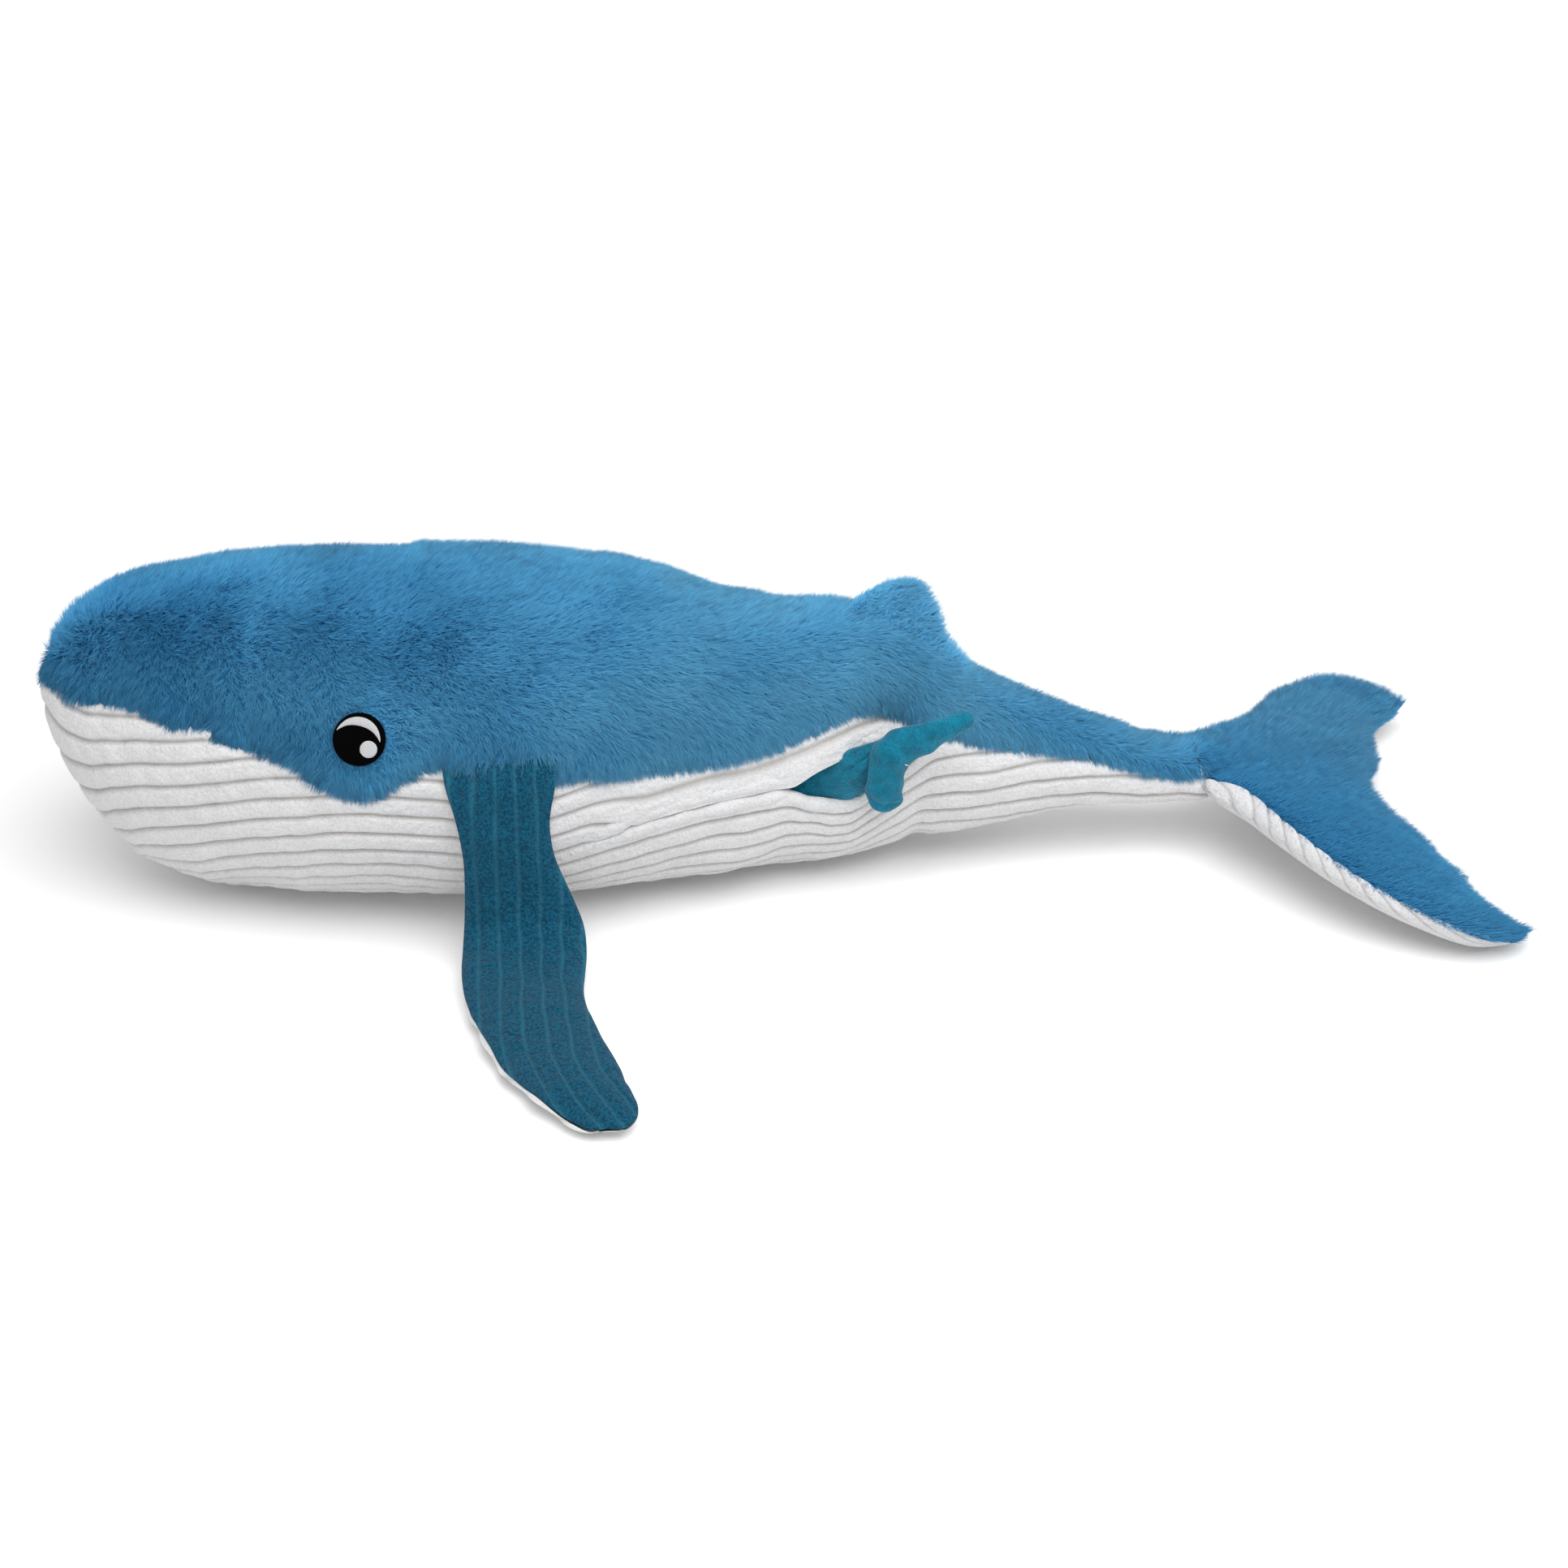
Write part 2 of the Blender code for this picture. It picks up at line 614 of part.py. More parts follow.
def leaf_filling(name, parts, middle, normal, up, down, keep, material):
    """Filling between two skins, on the columns and rows of the grid that keep names."""
    rows, columns = keep
    upper = (middle + normal * (up - FILLING_GAP)[..., None])[rows, columns]
    lower = (middle - normal * (down - FILLING_GAP)[..., None])[rows, columns]
    return shell(name, parts, upper, lower, material)


def fluke_grid():
    """Middle surface, half thickness and chord share of the flukes, right tip to left tip."""
    span = np.linspace(-1, 1, FLUKE_ROWS)
    chord = np.linspace(0, 1, FLUKE_COLUMNS + 1)
    reach = np.abs(span)
    columns = [glide(FLUKE_ROW_SHARES, i, reach)[:, None] for i in range(1, 6)]
    lead_x, lead_y, trail_x, trail_y, swell = columns
    seam_x = NOSE_X + BODY_LENGTH
    x = seam_x + FLUKE_REACH * (lead_x + (trail_x - lead_x) * chord)
    y = -np.sign(span)[:, None] * FLUKE_HALF_SPAN * (lead_y + (trail_y - lead_y) * chord)
    root_z, root_tall = body_middle(1.0)
    root_wide = body_half_width(1.0)
    run = np.clip((x - seam_x) / (FLUKE_REACH * 0.94), 0, 1)
    z = root_z + (FLUKE_TIP_LIFT - root_z) * run
    lens = np.sqrt(np.clip(1 - (2 * chord ** 0.8 - 1) ** 2, 0, 1))
    half = FLUKE_EDGE + (FLUKE_HALF_THICKNESS * swell - FLUKE_EDGE) * lens
    root_half = root_tall * np.sqrt(np.clip(1 - (y / (root_wide * 1.06)) ** 2, 0, 1))
    stock = np.clip(1 - run * 2.6, 0, 1) ** 1.2
    half = np.maximum(half, FLUKE_EDGE + (root_half - FLUKE_EDGE) * stock)
    return np.stack([x, y, z], axis=-1), half, chord


def build_flukes(parts, cloth):
    """Fur top, ribbed underside and the filling of each lobe."""
    middle, outside, chord = fluke_grid()
    normal = np.zeros_like(middle)
    normal[..., 2] = 1.0
    up = np.maximum(outside - FLUKE_FUR, SEAM_GAP / 2)
    down = np.maximum(outside - FLUKE_RIB, SEAM_GAP / 2)
    for thickness in (up, down):
        thickness[(0, -1), :] = SEAM_GAP / 2
        thickness[:, -1] = SEAM_GAP / 2
    seam_row = slice(FLUKE_ROWS // 2 - 1, FLUKE_ROWS // 2 + 2)
    lean = math.tan(FLUKE_BEND_LIMIT / 2)

    def set_back(points, heights):
        moved = points.copy()
        moved[seam_row, 0, 0] += heights[seam_row, 0] * lean
        moved[:, 0, 0] += SEAM_GAP / 2
        return moved

    faces = {
        "flukes_fur": (set_back(middle + normal * outside[..., None], outside),
                       set_back(middle + normal * up[..., None], up), cloth["fur"]),
        "flukes_rib": (set_back(middle - normal * outside[..., None], outside),
                       set_back(middle - normal * down[..., None], down), cloth["rib"]),
    }
    for name, (outer, inner, material) in faces.items():
        shell(name, parts, outer, inner, material)
    centre = FLUKE_ROWS // 2
    for name, rows in (("right_fluke_filling", slice(1, centre + 1)),
                       ("left_fluke_filling", slice(centre, FLUKE_ROWS - 1))):
        upper = set_back(middle + normal * (up - FILLING_GAP)[..., None], up)[rows, 1:-1]
        lower = set_back(middle - normal * (down - FILLING_GAP)[..., None], down)[rows, 1:-1]
        away = SEAM_GAP / 2 * (1 if name.startswith("left") else -1)
        edge = 0 if name.startswith("left") else -1
        upper[edge, :, 1] -= away
        lower[edge, :, 1] -= away
        shell(name, parts, upper, lower, cloth["filling"])


def flipper_axis_y():
    """How far out the root of the flipper lies, clear of the widest belly beside it."""
    places = np.linspace(0.33, 0.46, 9)
    widest = np.max(body_half_width(places)) - RIB_SINK
    return widest - FLIPPER_TUCK + FLIPPER_ROOT_HALF_THICKNESS


def build_flipper(side_name, side, parts, cloth):
    """Ribbed upper skin, white underside and filling of one flipper; side is -1 on the left."""
    along = np.linspace(0, 1, FLIPPER_ROWS)
    across = np.linspace(0, 1, FLIPPER_COLUMNS + 1)
    out = flipper_axis_y() + FLIPPER_REACH * glide(FLIPPER_LINE_SHARES, 1, along)
    high = FLIPPER_ROOT_Z * glide(FLIPPER_LINE_SHARES, 2, along)
    run = np.gradient(out)
    drop = np.gradient(high)
    length = np.hypot(run, drop)
    lead = glide(FLIPPER_OUTLINE_SHARES, 1, along)[:, None]
    trail = glide(FLIPPER_OUTLINE_SHARES, 2, along)[:, None]
    start_x = NOSE_X + FLIPPER_AHEAD_SHARE * BODY_LENGTH
    x = start_x + FLIPPER_WIDTH * (lead + (trail - lead) * across)
    grid = np.ones_like(x)
    middle = np.stack([x, side * out[:, None] * grid, high[:, None] * grid], axis=-1)
    normal_y = -drop / length
    normal_z = run / length
    normal = np.stack([np.zeros_like(x), side * normal_y[:, None] * grid, normal_z[:, None] * grid], axis=-1)
    half = FLIPPER_HALF_THICKNESS * glide(FLIPPER_OUTLINE_SHARES, 3, along)[:, None]
    outside, inside = leaf_sections(half, FLIPPER_EDGE, FLIPPER_SKIN, across[None, :])
    inside[-1, :] = SEAM_GAP / 2
    leaf_pieces((f"{side_name}_flipper_top", f"{side_name}_flipper_under"), parts, middle, normal,
                outside, inside, inside, (cloth["teal_rib"], cloth["rib"]))
    leaf_filling(f"{side_name}_flipper_filling", parts, middle, normal, inside, inside,
                 (slice(0, FLIPPER_ROWS - 2), slice(2, FLIPPER_COLUMNS - 1)), cloth["filling"])


def fin_rings(depth):
    """Level sections of the dorsal fin at a depth under its surface."""
    angles = np.linspace(0, 2 * math.pi, FIN_SEGMENTS, endpoint=False)
    rings = []
    for height, lean, length, thick in FIN_SECTION_SHARES:
        half_length = FIN_HALF_LENGTH * length
        half_thick = FIN_HALF_THICKNESS * thick
        keep = 1 - depth / FIN_HALF_THICKNESS
        x = FIN_BASE_X + FIN_HALF_LENGTH * lean + half_length * keep * np.cos(angles)
        y = half_thick * keep * np.sin(angles)
        z = FIN_TOP_Z - FIN_HEIGHT * (1 - height) - depth * height
        rings.append(np.stack([x, y, np.full(FIN_SEGMENTS, z)], axis=-1))
    return np.stack(rings)


def build_fin(parts, cutters, cloth):
    """Fur and filling of the dorsal fin, seated on the back."""
    along = body_rings(0.0, TAIL_JOINT_SHARE, BODY_RINGS, 1.35)
    seat = tube("fin_seat", cutters, body_form(along, -SEAM_GAP), None)
    fur = tube("dorsal_fin_fur", parts, fin_rings(0.0), cloth["fur"])
    hollow = fin_rings(FIN_SKIN)
    hollow[0] += (hollow[0] - hollow[1]) * FIN_OVERRUN_SHARE
    combine(fur, tube("fin_hollow", cutters, hollow, None), "DIFFERENCE")
    combine(fur, seat, "DIFFERENCE")
    filling = tube("dorsal_fin_filling", parts, fin_rings(FIN_SKIN + FILLING_GAP), cloth["filling"])
    combine(filling, seat, "DIFFERENCE")


def patch_frame(place, towards, up):
    """Axes of a flat patch: across, up and outwards."""
    out = towards / np.linalg.norm(towards)
    rise = up - out * np.dot(up, out)
    rise = rise / np.linalg.norm(rise)
    return place, np.cross(rise, out), rise, out


def patch_prism(name, collection, outline, frame, low, high, material):
    """A flat patch: an outline of (across, up) points between two heights over its frame."""
    place, across, rise, out = frame
    outline = np.array(outline)
    flat = place + outline[:, :1] * across + outline[:, 1:] * rise
    return tube(name, collection, np.stack([flat + low * out, flat + high * out]), material)


def circle(radius, sides, across=0.0, up=0.0):
    """Points round a circle."""
    turns = [2 * math.pi * i / sides for i in range(sides)]
    return [(across + radius * math.cos(t), up + radius * math.sin(t)) for t in turns]


def crescent(radius, depth, sides, tilt):
    """A crescent along the upper inside of a circle, widest at the tilted top."""
    arc = [math.pi * i / sides for i in range(sides + 1)]
    outer = [(radius * math.cos(t), radius * math.sin(t)) for t in arc]
    inner = [(radius * math.cos(t), radius * math.sin(t) - depth * math.sin(t) ** 1.5) for t in arc[-2:0:-1]]
    turned = []
    for across, up in outer + inner:
        turned.append((across * math.cos(tilt) - up * math.sin(tilt), across * math.sin(tilt) + up * math.cos(tilt)))
    return turned


def build_eye(side_name, side, parts, cutters, cloth, fur):
    """Black patch, white crescent and glint of one eye; side is -1 on the left."""
    angle = math.asin(EYE_HEIGHT_SHARE)
    step = 0.01
    place = body_surface(EYE_ALONG_SHARE, angle, 0.0)
    ahead = body_surface(EYE_ALONG_SHARE - step, angle, 0.0) - place
    above = body_surface(EYE_ALONG_SHARE, angle + step, 0.0) - place
    out = np.cross(above, ahead)
    if out[1] > 0:
        out = -out
    mirror = np.array([1.0, -side, 1.0])
    frame = patch_frame(place * mirror, out * mirror, np.array([0.0, 0.0, 1.0]))
    back = EYE_PROUD - EYE_THICKNESS
    name = f"{side_name}_eye"
    patch_prism(f"{name}_black", parts, circle(EYE_RADIUS, EYE_SIDES), frame, back, EYE_PROUD, cloth["black"])
    pocket = patch_prism(f"{name}_pocket", cutters, circle(EYE_RADIUS + SEAM_GAP, EYE_SIDES), frame,
                         back - SEAM_GAP, OVERRUN, None)
    combine(fur, pocket, "DIFFERENCE")
    low = EYE_PROUD + SEAM_GAP
    high = low + EYE_WHITE_THICKNESS
    moon = crescent(EYE_RADIUS - EYE_RIM, EYE_CRESCENT_DEPTH, EYE_SIDES // 2, 0.0)
    patch_prism(f"{name}_white", parts, moon, frame, low, high, cloth["white"])
    tailward = -side * EYE_GLINT_BACK
    glint = circle(EYE_GLINT_RADIUS, EYE_SIDES // 2, tailward, -EYE_GLINT_DOWN)
    patch_prism(f"{name}_glint", parts, glint, frame, low, high, cloth["white"])


def baby_line(along):
    """Middle of the small whale at a place along it."""
    x = BABY_NOSE_X + BABY_LENGTH * along
    skin_y = POUCH_FLOOR_Y + POUCH_SLANT * x - POUCH_DEPTH
    y = skin_y + BABY_BACK_DEPTH + BABY_HALF_DEPTH - BABY_OUTWARD * glide(BABY_STATION_SHARES, 1, along)
    z = BABY_Z + BABY_LIFT * glide(BABY_STATION_SHARES, 2, along)
    return np.stack([x, y, z * np.ones_like(x)], axis=-1)


def baby_frames(along):
    """Middle, direction, back direction and side direction of the small whale."""
    step = 0.004
    middle = baby_line(along)
    ahead = baby_line(along + step) - baby_line(along - step)
    ahead = ahead / np.linalg.norm(ahead, axis=-1, keepdims=True)
    back = np.array([0.0, -1.0, 0.0]) - ahead * (-ahead[..., 1:2])
    back = back / np.linalg.norm(back, axis=-1, keepdims=True)
    return middle, ahead, back, np.cross(back, ahead)


def baby_surface(along, angle, depth):
    """Points of the small whale at a depth under its surface; angle 90 degrees is its back."""
    along, angle = np.broadcast_arrays(np.asarray(along, float), np.asarray(angle, float))
    middle, ahead, back, side = baby_frames(along)
    cap = np.clip(1 - along / BABY_CAP_SHARE, 0, 1)
    thick = BABY_HALF_DEPTH * glide(BABY_STATION_SHARES, 3, along)
    wide = BABY_HALF_WIDTH * glide(BABY_STATION_SHARES, 4, along)
    across, rise = round_section(angle, 2.0, 2.0)
    thick = shrink(thick, depth, BABY_HALF_DEPTH * cap)
    wide = shrink(wide, depth, BABY_HALF_WIDTH * cap)
    inward = ahead * (depth * cap ** 2)[..., None]
    return middle + inward + side * (wide * across)[..., None] + back * (thick * rise)[..., None]


def build_baby(parts, cutters, cloth):
    """Back, belly, filling, folded flippers and eyes of the small whale."""
    along = body_rings(0.0, 1.0, BABY_RINGS, 1.2)
    seam = np.arcsin(glide(BABY_SEAM_SHARES, 1, along))[:, None]
    clear = SEAM_GAP / 2 / BABY_HALF_WIDTH * 2
    share = np.linspace(0, 1, BABY_SEGMENTS + 1)[None, :]
    upper = (seam + clear) + (math.pi - 2 * (seam + clear)) * share
    lower = math.pi - (seam - clear) + (math.pi + 2 * (seam - clear)) * share
    skins = {}
    for name, angles, material in (("baby_back", upper, cloth["baby"]), ("baby_belly", lower, cloth["baby_white"])):
        outer = baby_surface(along[:, None], angles, 0.0)
        inner = baby_surface(along[:, None], angles, BABY_FABRIC)
        skins[name] = shell(name, parts, outer, inner, material)
    angles = np.concatenate([upper, lower[:, 1:-1]], axis=1)
    tube("baby_filling", parts, baby_surface(along[:, None], angles, BABY_FABRIC + FILLING_GAP), cloth["filling"])
    for side_name, side in (("left", -1), ("right", 1)):
        build_baby_eye(side_name, side, parts, cutters, cloth, skins["baby_back"])
        build_baby_flipper(side_name, side, parts, cloth)


def build_baby_eye(side_name, side, parts, cutters, cloth, skin):
    """Black patch and white crescent of one eye of the small whale."""
    across_angle = 0.0 if side > 0 else math.pi
    place = baby_surface(BABY_EYE_SHARE, across_angle, 0.0)
    middle, ahead, back, _ = baby_frames(np.array(BABY_EYE_SHARE))
    frame = patch_frame(place, place - middle, back)
    low = BABY_EYE_PROUD - BABY_EYE_THICKNESS
    name = f"baby_{side_name}_eye"
    outline = circle(BABY_EYE_RADIUS, BABY_EYE_SIDES)
    patch_prism(f"{name}_black", parts, outline, frame, low, BABY_EYE_PROUD, cloth["black"])
    pocket = circle(BABY_EYE_RADIUS + SEAM_GAP, BABY_EYE_SIDES)
    tool = patch_prism(f"{name}_pocket", cutters, pocket, frame, low - SEAM_GAP, OVERRUN, None)
    combine(skin, tool, "DIFFERENCE")
    start = BABY_EYE_PROUD + SEAM_GAP
    moon = crescent(BABY_EYE_RADIUS - BABY_EYE_RIM, BABY_EYE_CRESCENT_DEPTH, BABY_EYE_SIDES // 2, 0.0)
    patch_prism(f"{name}_white", parts, moon, frame, start, start + BABY_EYE_WHITE_THICKNESS, cloth["white"])


def build_baby_flipper(side_name, side, parts, cloth):
    """One flipper of the small whale, lying back along its belly side."""
    share = np.linspace(0, 1, BABY_FLIPPER_RINGS)
    angles = np.linspace(0, 2 * math.pi, BABY_FLIPPER_SEGMENTS, endpoint=False)
    along = BABY_FLIPPER_SHARE + share * BABY_FLIPPER_LENGTH / BABY_LENGTH
    middle, ahead, back, across = baby_frames(along)
    body_thick = BABY_HALF_DEPTH * glide(BABY_STATION_SHARES, 3, along)
    body_wide = BABY_HALF_WIDTH * glide(BABY_STATION_SHARES, 4, along)
    spread = np.minimum(BABY_FLIPPER_SPREAD, body_wide * 0.8)
    under = body_thick * np.sqrt(1 - ((spread - BABY_FLIPPER_HALF_WIDTH) / body_wide) ** 2)
    swell = np.sqrt(np.clip(1 - (2 * share - 1) ** 2, 0.03, 1))
    wide = BABY_FLIPPER_HALF_WIDTH * swell
    thick = BABY_FLIPPER_HALF_THICKNESS * swell
    centre = middle + across * (side * spread)[:, None]
    centre = centre - back * (under - BABY_FLIPPER_TUCK + thick)[:, None]
    rings = (centre[:, None, :] + across[:, None, :] * (wide[:, None] * np.cos(angles))[..., None]
             + back[:, None, :] * (thick[:, None] * np.sin(angles))[..., None])
    tube(f"baby_{side_name}_flipper", parts, rings, cloth["baby"])


def build_baby_flukes(parts, cloth):
    """Upper skin, under skin and filling of the small whale's flukes, outside the pouch."""
    span = np.linspace(-1, 1, BABY_FLUKE_ROWS)
    chord = np.linspace(0, 1, BABY_FLUKE_COLUMNS + 1)
    columns = [glide(BABY_FLUKE_ROW_SHARES, i, np.abs(span))[:, None] for i in range(1, 6)]
    lead_out, lead_side, trail_out, trail_side, swell = columns
    forward = BABY_FLUKE_REACH * (lead_out + (trail_out - lead_out) * chord)
    sideways = np.sign(span)[:, None] * BABY_FLUKE_HALF_SPAN * (lead_side + (trail_side - lead_side) * chord)
    root = baby_line(np.array(1.0))
    axis = np.array([math.cos(BABY_FLUKE_TURN), 0.0, math.sin(BABY_FLUKE_TURN)])
    lateral = np.array([-math.sin(BABY_FLUKE_TURN), 0.0, math.cos(BABY_FLUKE_TURN)])
    root_wide = BABY_HALF_WIDTH * BABY_STATION_SHARES[-1, 4]
    start = root + axis * (root_wide - BABY_FLUKE_TUCK)
    middle = start + forward[..., None] * axis + sideways[..., None] * lateral
    normal = np.zeros_like(middle)
    normal[..., 1] = -1.0
    half = BABY_FLUKE_HALF_THICKNESS * swell
    outside, inside = leaf_sections(half, BABY_FLUKE_EDGE, BABY_FLUKE_SKIN, chord[None, :])
    inside[(0, -1), :] = SEAM_GAP / 2
    leaf_pieces(("baby_flukes_top", "baby_flukes_under"), parts, middle, normal, outside, inside, inside,
                (cloth["baby"], cloth["baby_white"]))
    leaf_filling("baby_flukes_filling", parts, middle, normal, inside, inside,
                 (slice(1, -1), slice(2, -2)), cloth["filling"])


def main():
    """Build the toy."""
    clear_scene()
    parts = new_collection("plush_whale")
    cutters = new_collection("cutters")
    cloth = {
        "fur": make_material("blue_fur", FUR_BLUE, FABRIC_ROUGHNESS),
        "rib": make_material("white_rib", RIB_WHITE, FABRIC_ROUGHNESS),
        "teal_rib": make_material("teal_rib", FLIPPER_TEAL, FABRIC_ROUGHNESS),
        "baby": make_material("teal_plush", BABY_TEAL, FABRIC_ROUGHNESS),
        "baby_white": make_material("white_plush", RIB_WHITE, FABRIC_ROUGHNESS),
        "lining": make_material("pouch_cloth", RIB_WHITE, FABRIC_ROUGHNESS),
        "filling": make_material("fibre_filling", FILLING_WHITE, FABRIC_ROUGHNESS),
        "black": make_material("black_thread", EYE_BLACK, THREAD_ROUGHNESS),
        "white": make_material("white_thread", EYE_WHITE, THREAD_ROUGHNESS),
    }
    body = build_body(parts, cutters, cloth)
    build_pouch(parts, cutters, cloth, body)
    build_tail(parts, cloth)
    build_flukes(parts, cloth)
    for side_name, side in (("left", -1), ("right", 1)):
        build_flipper(side_name, side, parts, cloth)
        build_eye(side_name, side, parts, cutters, cloth, body["back_fur"])
    build_fin(parts, cutters, cloth)
    build_baby(parts, cutters, cloth)
    build_baby_flukes(parts, cloth)


main()
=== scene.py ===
"""Looks of the plush whale: long-pile fur, ribbed plush, embroidered eyes and the small whale in the pouch.

Every surface is a formula over a grid of two parameters, worked out with numpy as whole arrays.
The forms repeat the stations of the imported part, so each skin lies where its solid is.
Hairs are slim three-sided spikes scattered by area, combed, gathered into tufts and left standing free.
"""
import math

import bmesh
import bpy
import numpy as np
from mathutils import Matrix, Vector


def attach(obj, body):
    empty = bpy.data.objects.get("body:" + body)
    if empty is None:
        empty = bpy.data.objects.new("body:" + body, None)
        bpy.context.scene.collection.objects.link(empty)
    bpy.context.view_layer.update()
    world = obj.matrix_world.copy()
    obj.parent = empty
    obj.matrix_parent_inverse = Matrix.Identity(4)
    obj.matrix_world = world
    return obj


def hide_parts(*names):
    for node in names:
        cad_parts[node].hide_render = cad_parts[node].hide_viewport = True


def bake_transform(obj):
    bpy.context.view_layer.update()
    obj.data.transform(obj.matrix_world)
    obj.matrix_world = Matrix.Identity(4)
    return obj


bl_info = {
    "name": "Plush Whale",
    "version": (1, 0, 0),
    "blender": (4, 5, 0),
    "location": "3D View > Sidebar > Plush Whale",
    "description": "Furred and ribbed plush whale with a small whale in its side pouch",
    "category": "Add Mesh",
}

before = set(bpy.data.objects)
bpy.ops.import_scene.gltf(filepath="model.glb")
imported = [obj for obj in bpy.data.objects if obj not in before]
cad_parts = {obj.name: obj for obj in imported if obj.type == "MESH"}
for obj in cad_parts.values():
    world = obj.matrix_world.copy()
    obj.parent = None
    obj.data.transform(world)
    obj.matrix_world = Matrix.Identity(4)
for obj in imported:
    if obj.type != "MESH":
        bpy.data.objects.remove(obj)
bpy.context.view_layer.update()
MM = 0.001

# Whole toy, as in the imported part
BODY_LENGTH = 0.770
BODY_HEIGHT = 0.217
BODY_HALF_WIDTH = 0.143
FLUKE_REACH = 0.180
NOSE_X = -(BODY_LENGTH + FLUKE_REACH) / 2
FUR_DEPTH = 0.0070
FIN_FUR_DEPTH = 0.0050
FLUKE_FUR_DEPTH = 0.0045
BACKING_THICKNESS = 0.003
HEM_RISE = 0.0032
HEM_REACH = 0.012
RIB_SINK = 0.003
BODY_STATION_SHARES = np.array([
    (0.000, 0.654, 0.645, 0.014), (0.010, 0.756, 0.535, 0.238), (0.039, 0.871, 0.323, 0.476),
    (0.091, 0.949, 0.101, 0.664), (0.169, 0.991, 0.009, 0.825), (0.279, 1.000, 0.000, 0.951),
    (0.409, 0.968, 0.000, 1.000), (0.539, 0.894, 0.000, 0.797), (0.643, 0.816, 0.018, 0.594),
    (0.721, 0.737, 0.046, 0.476), (0.799, 0.571, 0.088, 0.378), (0.890, 0.419, 0.143, 0.294),
    (1.000, 0.336, 0.161, 0.224),
])
HEAD_CAP_SHARE = 0.17
UPPER_ROUNDNESS = 2.0
LOWER_ROUNDNESS = 2.5
SEAM_HEIGHT_SHARES = np.array([
    (0.00, 0.15), (0.05, 0.24), (0.11, 0.34), (0.17, 0.32), (0.22, 0.16), (0.26, 0.07), (0.29, 0.03),
    (0.32, 0.10), (0.35, 0.19), (0.45, 0.19), (0.50, 0.13), (0.58, 0.22), (0.64, 0.36), (0.71, 0.40),
    (0.76, 0.34), (0.84, 0.40), (0.92, 0.36), (1.00, 0.20),
])
# How much higher the edge of the fabric lies than the line that the fur hangs down to
SEAM_RAISE_ROWS = np.array([
    (0.000, 5), (0.012, 9), (0.022, 13), (0.035, 14), (0.049, 12), (0.062, 13), (0.076, 15.5),
    (0.089, 14.5), (0.103, 11.5), (0.120, 8), (0.135, 7), (0.147, 9.5), (0.157, 10), (0.170, 4.5),
    (0.184, 2), (0.197, 9.5), (0.211, 12), (0.224, 13), (0.238, 11), (0.251, 8), (0.268, 4), (0.290, 5),
    (0.318, 11), (0.444, 2), (0.496, 5), (0.548, 6), (0.583, 4), (0.618, 1), (0.650, 2), (0.672, 6),
    (0.690, 9), (0.720, 9), (0.760, 9), (0.803, 6), (0.845, 7), (0.887, 7), (0.929, 6), (0.970, 5),
    (1.000, 7),
]) * [1.0, MM]
# Sags and rises of the stuffed back along the body
BACK_RISE_ROWS = np.array([
    (-475, 0), (-466, -5), (-450, -4), (-430, 0), (-400, -1.5), (-370, -3.5), (-340, -2.5), (-300, -4),
    (-260, -6), (-240, -6), (-225, -3), (-133, -2), (-93, 2), (-70, 1), (-53, -2), (-30, -5), (-10, -4),
    (0, -4), (15, -2), (30, 2), (50, 7), (70, 8), (100, 6), (120, 4), (143, 3), (176, 4), (208, 3),
    (235, 0), (250, -4), (272, -5), (295, 0),
]) * MM
# How much fuller the stuffed chin hangs than its stations
CHIN_DROP_ROWS = np.array([
    (-475, 0), (-472, 5), (-467, 9), (-455, 11.5), (-440, 11.5), (-405, 7.5), (-370, 3), (-345, 1),
    (-320, 0), (300, 0),
]) * MM
TAIL_SPLIT_SHARE = 0.800
CHEST_SPLIT_SHARE = 0.370
# The backing is tucked under the rib at the tip of the nose: by an angle, along a share of the body
NOSE_TUCK = 0.45
NOSE_TUCK_SHARE = 0.014
# The ribbed sheet sinks at the very end of the body
TAIL_END_SHARE = 0.010
TAIL_END_DIP = 0.002

# Flukes
FLUKE_HALF_SPAN = 0.180
FLUKE_HALF_THICKNESS = 0.0165
FLUKE_TIP_LIFT = 0.009
FLUKE_WRAP = 0.090
FLUKE_RIB_SLANT = -11.0
FLUKE_ROW_SHARES = np.array([
    (0.00, 0.000, 0.000, 0.615, 0.000, 1.00), (0.15, 0.000, 0.200, 0.655, 0.135, 1.00),
    (0.24, 0.070, 0.345, 0.705, 0.225, 1.00), (0.42, 0.185, 0.560, 0.785, 0.420, 0.95),
    (0.60, 0.330, 0.765, 0.835, 0.590, 0.86), (0.78, 0.520, 0.925, 0.878, 0.715, 0.74),
    (0.91, 0.740, 1.000, 0.938, 0.800, 0.60), (1.00, 0.930, 0.950, 1.000, 0.870, 0.36),
])
# The far lobe lies further back and has a lifted tip: its leading edge
FAR_LEAD_ROWS = np.array([
    (0.00, 0.00), (0.12, 0.00), (0.15, 0.03), (0.24, 0.175), (0.33, 0.255), (0.42, 0.315), (0.51, 0.375),
    (0.60, 0.435), (0.78, 0.575), (0.91, 0.75), (1.00, 0.93),
])
FAR_TIP_LIFT = 0.013
# The ribbed underside reaches under the tail's ribbed sheet: how far, over which length, and how much slimmer
FLUKE_UNDERLAP = 0.007
FLUKE_UNDERLAP_LENGTH = 0.020
FLUKE_UNDERLAP_RISE = 0.0016
FLUKE_UNDERLAP_SLIM = 0.06

